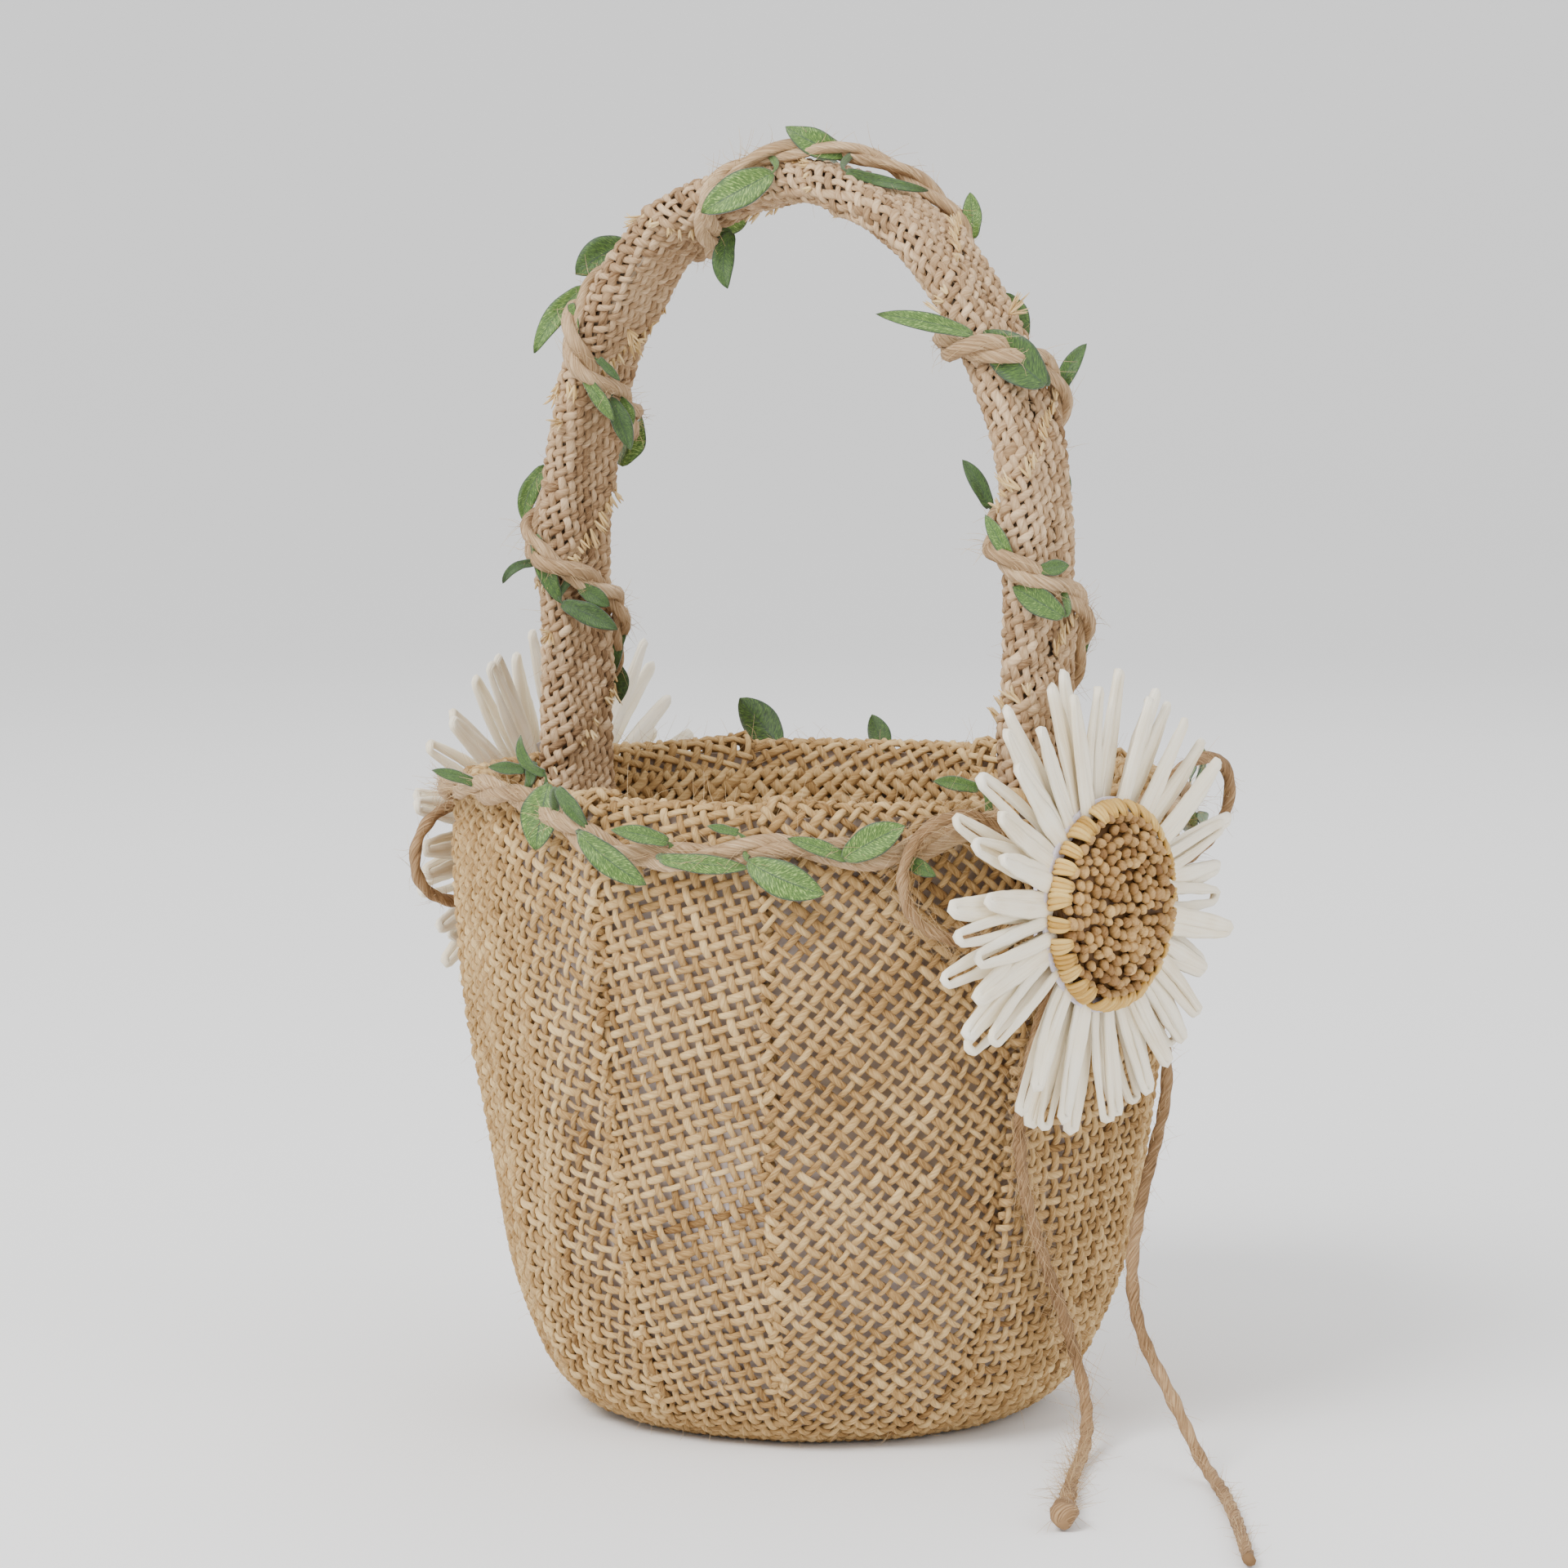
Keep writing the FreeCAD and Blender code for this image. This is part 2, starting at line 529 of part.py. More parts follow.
def flower_nodes(name, side, offset_y):
    centre_y = offset_y * side
    axis = Vector(1, 0, 0)

    def at(x):
        return Vector(x, centre_y, FLOWER_Z)

    rim = revolve([
        line((0, 0), (wall_radius(FLOWER_Z) + 0.3, 0)),
        line((wall_radius(FLOWER_Z) + 0.3, 0), (wall_radius(FLOWER_Z) + 0.3, RIM_Z)),
        line((wall_radius(FLOWER_Z) + 0.3, RIM_Z), (0, RIM_Z)),
        line((0, RIM_Z), (0, 0)),
    ])
    pads = []
    for dy, dz in GLUE_SPOTS[name]:
        spot = Vector(56, centre_y + dy, FLOWER_Z + dz)
        pads.append(disc(GLUE_R, BACKING_X - 56.1, spot, axis).cut(rim))
    save("flower_glue_%s" % name, placed(Part.makeCompound(pads), side))

    save("flower_backing_%s" % name, placed(disc(15.0, 0.8, at(BACKING_X), axis), side))
    layers = (("back", 16, 40.0, 0.0), ("middle", 16, 37.5, 7.5), ("front", 16, 33.0, 15.0))
    x = BACKING_X + 0.9
    for layer, count, tip_r, turn in layers:
        star = petal_layer(x, 1.1, count, tip_r, 3.3, turn, centre_y)
        save("petals_%s_%s" % (layer, name), placed(star, side))
        x += 1.2
    save("seed_collar_%s" % name, placed(disc(18.4, 0.5, at(x), axis), side))
    x += 0.6
    save("seed_pad_%s" % name, placed(disc(15.9, 1.6, at(x), axis), side))
    border = disc(17.6, 2.4, at(x), axis)
    border = border.makeFillet(0.9, [e for e in border.Edges if abs(e.BoundBox.XMin - x - 2.4) < 0.01])
    save("seed_border_%s" % name, placed(border.cut(disc(16.1, 3, at(x), axis)), side))
    x += 1.7
    head = disc(15.9, 1.6, at(x), axis)
    head = head.makeFillet(1.0, [e for e in head.Edges if abs(e.BoundBox.XMin - x - 1.6) < 0.01])
    save("seed_knots_%s" % name, placed(head, side))


def bow_nodes(name, side):
    axis = Vector(1, 0, 0)
    centre = Vector(KNOT_X, -12.0, 97.5)
    save("bow_knot_%s" % name, placed(knot(centre, axis, KNOT_R, KNOT_T), side))
    routes = {
        "bow_free_loop": FREE_LOOP[name],
        "bow_wall_loop": WALL_LOOP,
        "bow_outer_tail": OUTER_TAIL[name],
        "bow_inner_tail": INNER_TAIL[name],
    }
    for part_name, route in routes.items():
        node = "%s_%s" % (part_name, name)
        save(node, placed(tube(route, BOW_TWINE_D, node), side))

    end = Vector(*INNER_TAIL[name][-1])
    along = end - Vector(*INNER_TAIL[name][-2])
    along.normalize()
    start = end + along * 0.05
    start.z = TAIL_KNOT_R
    body = disc(TAIL_KNOT_R, TAIL_KNOT_LENGTH, start, along)
    save("bow_tail_knot_%s" % name, placed(body.makeFillet(1.9, body.Edges), side))


os.makedirs("parts", exist_ok=True)
inner_wall_r = bucket_nodes()
handle_nodes(inner_wall_r)
handle_garland_nodes()
rim_garland_nodes()
for flower_name, flower_side, flower_y in FLOWER_SIDES:
    flower_nodes(flower_name, flower_side, flower_y)
    bow_nodes(flower_name, flower_side)
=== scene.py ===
import math

import bpy
import numpy as np
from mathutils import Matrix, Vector


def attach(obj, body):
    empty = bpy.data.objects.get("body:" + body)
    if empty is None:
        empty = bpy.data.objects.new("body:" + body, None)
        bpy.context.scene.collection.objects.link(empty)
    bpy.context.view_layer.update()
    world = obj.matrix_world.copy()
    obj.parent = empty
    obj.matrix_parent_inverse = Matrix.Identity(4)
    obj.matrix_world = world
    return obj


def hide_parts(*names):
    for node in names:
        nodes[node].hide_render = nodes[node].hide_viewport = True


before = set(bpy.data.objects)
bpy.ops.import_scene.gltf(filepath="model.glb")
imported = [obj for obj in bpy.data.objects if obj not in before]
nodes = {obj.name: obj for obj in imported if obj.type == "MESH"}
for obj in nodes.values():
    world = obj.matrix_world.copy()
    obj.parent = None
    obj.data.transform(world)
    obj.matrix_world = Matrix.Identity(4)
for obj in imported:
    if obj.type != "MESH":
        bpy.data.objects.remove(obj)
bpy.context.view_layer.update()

MM = 0.001

# Sizes that the CAD source also has, in millimetres.
RIM_R, RIM_Z, ROLL_R = 60.6, 115.0, 2.6
PROFILE = [
    (35.5, 0.0), (39.8, 1.5), (43.8, 4.2), (46.8, 8.0), (50.0, 15.0), (55.3, 31.0),
    (59.9, 61.0), (62.6, 84.0), (63.6, 100.0), (63.2, 112.4),
]
HANDLE_Y = -5.0
HOOP_HALF_SPAN, SPRING_Z, LEG_BOTTOM_Z = 52.5, 155.0, 76.0
LEG_BEND_R, HAUNCH_R, CROWN_R = 1600.0, 73.2, 44.0
WRAP_W, WRAP_T = 16.6, 6.0
FLOWER_Z = 97.0
BOW_D = 2.2

# The camera, in millimetres and degrees.
CAMERA_TURN = -52.0    # world angle, round Z, of the side that faces the camera
CAMERA_AWAY, CAMERA_HEIGHT, CAMERA_LENS = 969.2, 208.4, 124.5
CAMERA_TARGET = (-4.6, -3.6, 112.2)

# Yarns as (width, thickness, how far each crossing lifts them), and the step between crossings.
PITCH = 2.36
COVER_YARN = (1.33, 0.98, 0.38)
LINING_YARN = (1.85, 0.85, 0.34)
LINING_FLOOR_YARN = (1.8, 0.85, 0.34)
BASE_YARN = (1.6, 0.75, 0.28)
WRAP_YARN = (1.42, 0.95, 0.38)
WRAP_STEPS = (2.05, 1.95)


# ---- small maths ----
def unit(v):
    return v / np.maximum(np.linalg.norm(v, axis=-1, keepdims=True), 1e-12)


def ease(t):
    """0 to 1 with a soft start and end."""
    return t * t * (3 - 2 * t)


def turned(angle):
    """A step one long in the plane, at an angle in radians."""
    return np.array([math.cos(angle), math.sin(angle)])


def run_along(line):
    """The distance along a line of each of its points."""
    return np.concatenate([[0], np.cumsum(np.linalg.norm(np.diff(line, axis=0), axis=1))])


def smooth_line(keys, step):
    """A smooth line through the keys, resampled to an even step along it."""
    keys = np.asarray(keys, float)
    padded = np.vstack([2 * keys[0] - keys[1], keys, 2 * keys[-1] - keys[-2]])
    t = np.linspace(0, 1, 12, endpoint=False)[:, None]
    out = []
    for a, b, c, d in zip(padded, padded[1:], padded[2:], padded[3:]):
        out.append(0.5 * (2 * b + (c - a) * t + (2 * a - 5 * b + 4 * c - d) * t**2
                          + (3 * b - a - 3 * c + d) * t**3))
    out.append(keys[-1:])
    return even(np.vstack(out), step)


def even(line, step):
    """The line resampled at an even step."""
    run = run_along(line)
    n = max(2, int(round(run[-1] / step)) + 1)
    at = np.linspace(0, run[-1], n)
    return np.stack([np.interp(at, run, line[:, i]) for i in range(line.shape[1])], 1)


def value_noise(x, seed, scale):
    """Smooth noise from -1 to 1 along x."""
    local = np.random.default_rng(seed)
    table = local.uniform(-1, 1, 256)
    f = np.asarray(x) / scale
    i = np.floor(f).astype(int)
    t = ease(f - i)
    return table[i % 256] * (1 - t) + table[(i + 1) % 256] * t


def noise2(x, y, seed):
    """Smooth noise from -1 to 1 over a plane of unit cells."""
    local = np.random.default_rng(seed)
    table = local.uniform(-1, 1, (64, 64))
    i, j = np.floor(x).astype(int), np.floor(y).astype(int)
    u, v = ease(x - i), ease(y - j)
    a = table[i % 64, j % 64] * (1 - u) + table[(i + 1) % 64, j % 64] * u
    b = table[i % 64, (j + 1) % 64] * (1 - u) + table[(i + 1) % 64, (j + 1) % 64] * u
    return a * (1 - v) + b * v


# ---- meshes ----
class Tubes:
    """Gathers tubes into one mesh, with a UV map that has a row for each tube, a second map in
    millimetres along and turns round it, and a tone for each point."""

    def __init__(self, sides=6):
        self.sides, self.count = sides, 0
        self.points, self.quads, self.caps, self.tones, self.rows = [], [], [], [], []

    def add(self, line, normals, width, thick, tone=0.5, plies=0, twist=0.0, depth=0.14, phase=0.0):
        line, n, k = np.asarray(line, float), len(line), self.sides
        along = unit(np.gradient(line, axis=0))
        across = unit(np.cross(along, normals))
        up = np.cross(across, along)
        turn = np.arange(k) * 2 * math.pi / k
        run = run_along(line)
        swell = 1.0
        if plies:
            swell = 1 + depth * np.cos(plies * turn[None, :] + twist * run[:, None] + phase)
            swell = swell[:, :, None]
        w = np.broadcast_to(width, n)[:, None, None] / 2
        t = np.broadcast_to(thick, n)[:, None, None] / 2
        ring = across[:, None] * (w * np.cos(turn)[None, :, None]) + up[:, None] * (
            t * np.sin(turn)[None, :, None])
        self.points.append((line[:, None] + ring * swell).reshape(-1, 3))
        i, j = np.meshgrid(np.arange(n - 1), np.arange(k), indexing="ij")
        nxt = (j + 1) % k
        quads = np.stack([i * k + j, (i + 1) * k + j, (i + 1) * k + nxt, i * k + nxt], -1)
        self.quads.append(quads.reshape(-1, 4) + self.count)
        self.caps.append(np.array([np.arange(k), (n - 1) * k + np.arange(k)[::-1]]) + self.count)
        self.tones.append(np.repeat(np.broadcast_to(tone, n), k))
        self.rows.append((run, n))
        self.count += n * k

    def build(self, name, material):
        k, rows = self.sides, len(self.rows)
        longest = max(run[-1] for run, _ in self.rows)
        atlas, fibre = [], []
        for row, (run, n) in enumerate(self.rows):
            i, j = np.meshgrid(np.arange(n - 1), np.arange(k), indexing="ij")
            lengths = np.stack([run[i], run[i + 1], run[i + 1], run[i]], -1).reshape(-1)
            turns = (np.stack([j, j, j + 1, j + 1], -1) / k).reshape(-1)
            atlas.append(np.stack([lengths / longest, (row + 0.1 + 0.8 * turns) / rows], -1))
            fibre.append(np.stack([lengths + 37.0 * row, turns], -1))
        ends = sum(len(c) for c in self.caps) * k
        atlas.append(np.zeros((ends, 2)))
        fibre.append(np.zeros((ends, 2)))
        quads, caps = np.concatenate(self.quads), np.concatenate(self.caps)
        return make_mesh(name, np.concatenate(self.points), [quads, caps],
                         {"UVMap": np.concatenate(atlas), "fibre": np.concatenate(fibre)},
                         np.concatenate(self.tones), material)


class Sheets:
    """Gathers thin closed grids into one mesh: each is a top and a bottom joined round the edge."""

    def __init__(self):
        self.count, self.points, self.quads, self.uv, self.tones, self.patches = 0, [], [], [], [], 0

    def add(self, grid, normals, thick, tone=0.5):
        rows, cols = grid.shape[:2]
        half = normals * (thick / 2)
        self.points += [(grid + half).reshape(-1, 3), (grid - half).reshape(-1, 3)]
        i, j = np.meshgrid(np.arange(rows - 1), np.arange(cols - 1), indexing="ij")
        top = np.stack([i * cols + j, (i + 1) * cols + j, (i + 1) * cols + j + 1, i * cols + j + 1], -1)
        top = top.reshape(-1, 4)
        size = rows * cols
        edge = np.concatenate([
            np.arange(cols), np.arange(1, rows) * cols + cols - 1,
            (rows - 1) * cols + np.arange(cols - 1)[::-1], np.arange(1, rows - 1)[::-1] * cols])
        after = np.roll(edge, -1)
        rim = np.stack([edge, after, after + size, edge + size], -1)
        quads = np.concatenate([top, top[:, ::-1] + size, rim])
        self.quads.append(quads + self.count)
        u, v = np.arange(rows) / (rows - 1), np.arange(cols) / (cols - 1)
        where = np.stack(np.meshgrid(u, v, indexing="ij"), -1).reshape(-1, 2)
        self.uv.append(np.vstack([where, where])[quads].reshape(-1, 2))
        self.tones.append(np.full(2 * size, tone) if np.isscalar(tone) else np.tile(tone.ravel(), 2))
        self.count += 2 * size
        self.patches += 1

    def build(self, name, material):
        side = math.ceil(math.sqrt(self.patches))
        atlas = [(uv * 0.9 + 0.05 + np.array([i % side, i // side])) / side
                 for i, uv in enumerate(self.uv)]
        return make_mesh(name, np.concatenate(self.points), [np.concatenate(self.quads)],
                         {"UVMap": np.concatenate(atlas), "fibre": np.concatenate(self.uv)},
                         np.concatenate(self.tones), material)


def make_mesh(name, points, groups, maps, tones, material):
    me = bpy.data.meshes.new(name)
    me.vertices.add(len(points))
    me.vertices.foreach_set("co", (points * MM).ravel().astype(np.float32))
    loops = np.concatenate([g.ravel() for g in groups])
    starts, at = [], 0
    for g in groups:
        starts.append(at + np.arange(len(g)) * g.shape[1])
        at += g.size
    me.loops.add(len(loops))
    me.loops.foreach_set("vertex_index", loops.astype(np.int32))
    starts = np.concatenate(starts)
    me.polygons.add(len(starts))
    me.polygons.foreach_set("loop_start", starts.astype(np.int32))
    me.update(calc_edges=True)
    for layer, uv in maps.items():
        me.uv_layers.new(name=layer).data.foreach_set("uv", uv.ravel().astype(np.float32))
    me.attributes.new("tone", "FLOAT", "POINT").data.foreach_set("value", tones.astype(np.float32))
    me.polygons.foreach_set("use_smooth", np.ones(len(starts), bool))
    me.validate()
    me.materials.append(material)
    ob = bpy.data.objects.new(name, me)
    bpy.context.collection.objects.link(ob)
    return ob


# ---- materials ----
def new_material(name):
    mat = bpy.data.materials.new(name)
    mat.use_nodes = True
    nt = mat.node_tree
    return mat, nt, nt.nodes["Principled BSDF"]


def add_node(nt, kind, **values):
    node = nt.nodes.new(kind)
    for key, value in values.items():
        if hasattr(node, key):
            setattr(node, key, value)
        else:
            node.inputs[key.replace("_", " ")].default_value = value
    return node


def ramp(nt, stops):
    node = nt.nodes.new("ShaderNodeValToRGB")
    els = node.color_ramp.elements
    while len(els) < len(stops):
        els.new(0.5)
    for el, (at, colour) in zip(els, stops):
        el.position = at
        el.color = (*colour, 1)
    return node


def maths(nt, operation, a, b):
    node = nt.nodes.new("ShaderNodeMath")
    node.operation = operation
    for socket, value in zip(node.inputs, (a, b)):
        if isinstance(value, (int, float)):
            socket.default_value = value
        else:
            nt.links.new(value, socket)
    return node.outputs[0]


def fibre_map(nt):
    """The two coordinates of the second UV map: along the piece and across or round it."""
    split = nt.nodes.new("ShaderNodeSeparateXYZ")
    nt.links.new(add_node(nt, "ShaderNodeUVMap", uv_map="fibre").outputs[0], split.inputs[0])
    return split.outputs[0], split.outputs[1]


def surface(nt, bsdf, colour, height, bump, bump_mm, **values):
    """Links the colour and the relief and sets the shader's own values."""
    nt.links.new(colour, bsdf.inputs["Base Color"])
    relief = add_node(nt, "ShaderNodeBump", Strength=bump, Distance=bump_mm * MM)
    nt.links.new(height, relief.inputs["Height"])
    nt.links.new(relief.outputs[0], bsdf.inputs["Normal"])
    for key, value in values.items():
        bsdf.inputs[key.replace("_", " ")].default_value = value


def fibre_material(name, stops, along=0.35, round_=5.0, twist=0.45, tone_share=0.6, rough=0.9,
                   bump=0.6, bump_mm=0.18, sheen=0.25, specular=0.25):
    """Twisted plant fibre: streaks that wind round the yarn, over a tone that changes along it."""
    mat, nt, bsdf = new_material(name)
    length, turn = fibre_map(nt)
    wound = maths(nt, "MULTIPLY", maths(nt, "ADD", turn, maths(nt, "MULTIPLY", length, twist)), round_)
    join = nt.nodes.new("ShaderNodeCombineXYZ")
    nt.links.new(maths(nt, "MULTIPLY", length, along), join.inputs[0])
    nt.links.new(wound, join.inputs[1])
    streaks = add_node(nt, "ShaderNodeTexNoise", Scale=1.0, Detail=3.0, Roughness=0.7)
    nt.links.new(join.outputs[0], streaks.inputs["Vector"])
    tone = add_node(nt, "ShaderNodeAttribute", attribute_name="tone")
    share = maths(nt, "ADD", maths(nt, "MULTIPLY", tone.outputs["Fac"], tone_share),
                  maths(nt, "MULTIPLY", streaks.outputs[0], 1 - tone_share))
    colours = ramp(nt, stops)
    nt.links.new(share, colours.inputs[0])
    surface(nt, bsdf, colours.outputs[0], streaks.outputs[0], bump, bump_mm, Roughness=rough,
            Sheen_Weight=sheen, Sheen_Roughness=0.5, Specular_IOR_Level=specular)
    return mat


def plain_material(name, low, high, scale, rough, bump=0.2, bump_mm=0.1, sheen=0.0):
    """A fine-grained surface whose colour drifts between low and high."""
    mat, nt, bsdf = new_material(name)
    coords = nt.nodes.new("ShaderNodeTexCoord")
    grain = add_node(nt, "ShaderNodeTexNoise", Scale=scale, Detail=4.0, Roughness=0.6)
    nt.links.new(coords.outputs["Object"], grain.inputs["Vector"])
    colours = ramp(nt, [(0.3, low), (0.7, high)])
    nt.links.new(grain.outputs[0], colours.inputs[0])
    surface(nt, bsdf, colours.outputs[0], grain.outputs[0], bump, bump_mm, Roughness=rough,
            Sheen_Weight=sheen)
    return mat


def leaf_material():
    """Satin ribbon: fine ribs across the leaf, a dark line of painted shade down the middle crease and a
    dark edge.
    """
    mat, nt, bsdf = new_material("leaf_satin")
    length, across = fibre_map(nt)
    off = maths(nt, "ABSOLUTE", maths(nt, "SUBTRACT", across, 0.5), 0)
    join = nt.nodes.new("ShaderNodeCombineXYZ")
    nt.links.new(maths(nt, "ADD", maths(nt, "MULTIPLY", length, 46.0), maths(nt, "MULTIPLY", off, -16.0)),
                 join.inputs[0])
    nt.links.new(maths(nt, "MULTIPLY", across, 7.0), join.inputs[1])
    tone = add_node(nt, "ShaderNodeAttribute", attribute_name="tone")
    nt.links.new(maths(nt, "MULTIPLY", tone.outputs["Fac"], 60.0), join.inputs[2])
    ribs = add_node(nt, "ShaderNodeTexNoise", Scale=1.0, Detail=3.0, Roughness=0.7)
    nt.links.new(join.outputs[0], ribs.inputs["Vector"])
    # The tone moves each leaf from dark to bright green: on the seen leaves it follows how lit each one
    # looks, so it is painted light and shade over the leaf's own green, and the brightest stop paints the
    # satin's highlight.
    shade = maths(nt, "ADD", maths(nt, "SUBTRACT", maths(nt, "MULTIPLY", ribs.outputs[0], 1.25), 0.16),
                  maths(nt, "MULTIPLY", maths(nt, "SUBTRACT", tone.outputs["Fac"], 0.3), 0.38))
    greens = ramp(nt, [(0.30, (0.012, 0.036, 0.005)), (0.50, (0.045, 0.112, 0.012)),
                       (0.66, (0.088, 0.185, 0.020)), (0.86, (0.38, 0.55, 0.14))])
    nt.links.new(shade, greens.inputs[0])
    # Dark at the middle and at the edge of the leaf: the middle line is painted shade in the crease.
    line = ramp(nt, [(0.0, (1, 1, 1)), (0.035, (0, 0, 0)), (0.44, (0, 0, 0)), (0.5, (1, 1, 1))])
    nt.links.new(off, line.inputs[0])
    mix = nt.nodes.new("ShaderNodeMix")
    mix.data_type = "RGBA"
    nt.links.new(line.outputs[0], mix.inputs["Factor"])
    nt.links.new(greens.outputs[0], mix.inputs["A"])
    mix.inputs["B"].default_value = (0.03, 0.06, 0.03, 1)
    surface(nt, bsdf, mix.outputs["Result"], ribs.outputs[0], 0.9, 0.2, Roughness=0.36, Sheen_Weight=0.3)
    return mat


YARN = dict(along=0.4, round_=9.0, twist=0.16, tone_share=0.42, bump=0.9, sheen=0.05, specular=0.12)
TWINE = dict(tone_share=0.3, bump=1.0, bump_mm=0.35, sheen=0.05, specular=0.15)
HEAD = dict(rough=0.5, bump_mm=0.2, sheen=0.0, specular=0.35)
burlap = fibre_material("burlap_yarn", [
    (0.28, (0.14, 0.066, 0.020)), (0.47, (0.395, 0.24, 0.095)), (0.70, (0.71, 0.505, 0.245))], **YARN)
wrap_burlap = fibre_material("wrap_yarn", [
    (0.28, (0.13, 0.066, 0.028)), (0.47, (0.39, 0.25, 0.135)), (0.70, (0.72, 0.53, 0.33))], **YARN)
twine_mat = fibre_material("jute_twine", [
    (0.3, (0.15, 0.082, 0.035)), (0.48, (0.43, 0.28, 0.15)), (0.68, (0.76, 0.57, 0.36))],
    along=0.16, round_=20.0, twist=0.07, **TWINE)
bow_mat = fibre_material("bow_twine", [
    (0.3, (0.10, 0.05, 0.02)), (0.48, (0.31, 0.185, 0.09)), (0.68, (0.60, 0.41, 0.23))],
    along=0.18, round_=16.0, twist=0.09, **TWINE)
hair_mat = fibre_material("jute_hair", [
    (0.2, (0.44, 0.27, 0.12)), (0.8, (0.76, 0.56, 0.32))], bump=0.1, sheen=0.05)
fray_mat = fibre_material("cut_ends", [
    (0.25, (0.36, 0.21, 0.08)), (0.5, (0.62, 0.42, 0.18)), (0.8, (0.82, 0.63, 0.35))], bump=0.6, sheen=0.05)
raffia = fibre_material("raffia_ivory", [
    (0.02, (0.40, 0.27, 0.13)), (0.32, (0.76, 0.61, 0.39)), (0.56, (0.95, 0.86, 0.67)),
    (0.85, (1.0, 0.96, 0.84))], along=0.05, round_=13.0, twist=0.0, tone_share=0.5, rough=0.5, bump=0.8,
    bump_mm=0.35, sheen=0.05, specular=0.35)
seed_mat = fibre_material("seed_knots", [
    (0.1, (0.035, 0.014, 0.004)), (0.45, (0.25, 0.120, 0.032)), (0.80, (0.68, 0.43, 0.165))],
    along=1.2, round_=8.0, twist=0.3, bump=0.9, **HEAD)
tuft_mat = fibre_material("seed_tufts", [
    (0.1, (0.22, 0.10, 0.015)), (0.42, (0.56, 0.32, 0.065)), (0.85, (0.84, 0.60, 0.21))],
    along=0.5, round_=9.0, twist=0.0, bump=0.8, **HEAD)
leaf_mat = leaf_material()
core_mat = plain_material("core_grey", (0.46, 0.33, 0.21), (0.72, 0.64, 0.62), 22, 0.7)
board_mat = plain_material("board", (0.45, 0.36, 0.25), (0.58, 0.48, 0.35), 300, 0.9)
felt_mat = plain_material("collar_felt", (0.62, 0.58, 0.70), (0.78, 0.75, 0.84), 900, 0.95, 0.5, 0.1, 0.3)
glue_mat = plain_material("set_glue", (0.70, 0.66, 0.58), (0.82, 0.78, 0.70), 150, 0.35)
strip_mat = plain_material("strip", (0.26, 0.19, 0.12), (0.36, 0.27, 0.18), 120, 0.7)


# ---- the woven cloth ----
def weave(name, material, sides, place, inside, reach, e1, e2, yarn, seed, steps=2, slack=0.10, tone=0.5):
    """Plain weave over a patch. place(x, y, up) gives points and normals, inside(x, y) says which
    belong to the patch, reach is its (x low, x high, y low, y high), and e1 and e2 are the steps
    from one crossing to the next along the two sets of yarns."""
    local = np.random.default_rng(seed)
    tubes = Tubes(sides)
    yarn_w, yarn_t, lift = yarn
    e1, e2 = np.asarray(e1, float), np.asarray(e2, float)
    back = np.linalg.inv(np.stack([e1, e2], 1))
    x0, x1, y0, y1 = reach
    spans = np.array([[x, y] for x in (x0, x1) for y in (y0, y1)]) @ back.T
    lo, hi = np.floor(spans.min(0)).astype(int) - 1, np.ceil(spans.max(0)).astype(int) + 1
    for family in (0, 1):
        other = 1 - family
        go, over = (e1, e2) if family == 0 else (e2, e1)
        side = unit(np.array([-go[1], go[0]]))
        for i in range(lo[other], hi[other] + 1):
            at = np.arange(lo[family] * steps, hi[family] * steps + 1) / steps
            number = local.integers(1 << 30)
            sway = slack * value_noise(at, number, 2.3) + 0.5 * slack * value_noise(at, number + 1, 0.8)
            xy = at[:, None] * go + i * over + sway[:, None] * side * np.linalg.norm(over)
            keep = inside(xy[:, 0], xy[:, 1])
            wave = np.cos(math.pi * (at + i)) * (1 if family == 0 else -1)
            slub = 1 + 0.20 * value_noise(at, number + 2, 3.1) + 0.10 * value_noise(at, number + 3, 1.1)
            slub = slub * (1 + 0.08 * local.normal())
            base = tone + 0.12 * local.normal()
            # The 0.06 * wave term is painted light and shade: each yarn is lighter where it rises over a
            # crossing and darker where it dips under one.
            tones = base + 0.14 * value_noise(at, number + 4, 2.7) + 0.06 * wave
            edges = np.flatnonzero(np.diff(np.concatenate([[0], keep.astype(int), [0]])))
            for a, b in zip(edges[::2], edges[1::2]):
                if b - a < 3:
                    continue
                part = slice(a, b)
                points, normals = place(xy[part, 0], xy[part, 1], lift * wave[part])
                width, thick = yarn_w * slub[part], yarn_t * np.sqrt(slub[part])
                tubes.add(points, normals, width, thick, tones[part])
    return tubes.build(name, material)


# ---- the bucket ----
wall = smooth_line(PROFILE, 0.5)
COVER_DROP = 0.62      # the cloth's middle lies this far inside the CAD surface
CLEAR_OF_FLOOR = 0.45
roll_turn = np.linspace(0, math.pi, 16)[1:]
roll = np.stack([RIM_R + ROLL_R * np.cos(roll_turn), RIM_Z - ROLL_R + ROLL_R * np.sin(roll_turn)], 1)
turned_in = np.stack([np.linspace(58.0, 58.3, 14)[1:], np.linspace(112.4, 98.5, 14)[1:]], 1)
outline = even(np.vstack([wall, roll, turned_in]), 0.5)
outline_run = np.arange(len(outline)) * np.linalg.norm(outline[1] - outline[0])
slope = unit(np.gradient(outline, axis=0))
outline_out = np.stack([slope[:, 1], -slope[:, 0]], 1)
WALL_TOP = float(outline_run[len(even(wall, 0.5)) - 1])
OUTLINE_END = float(outline_run[-1])


def outline_at(y):
    r, z = (np.interp(y, outline_run, outline[:, i]) for i in (0, 1))
    nr, nz = (np.interp(y, outline_run, outline_out[:, i]) for i in (0, 1))
    return r, z, nr, nz


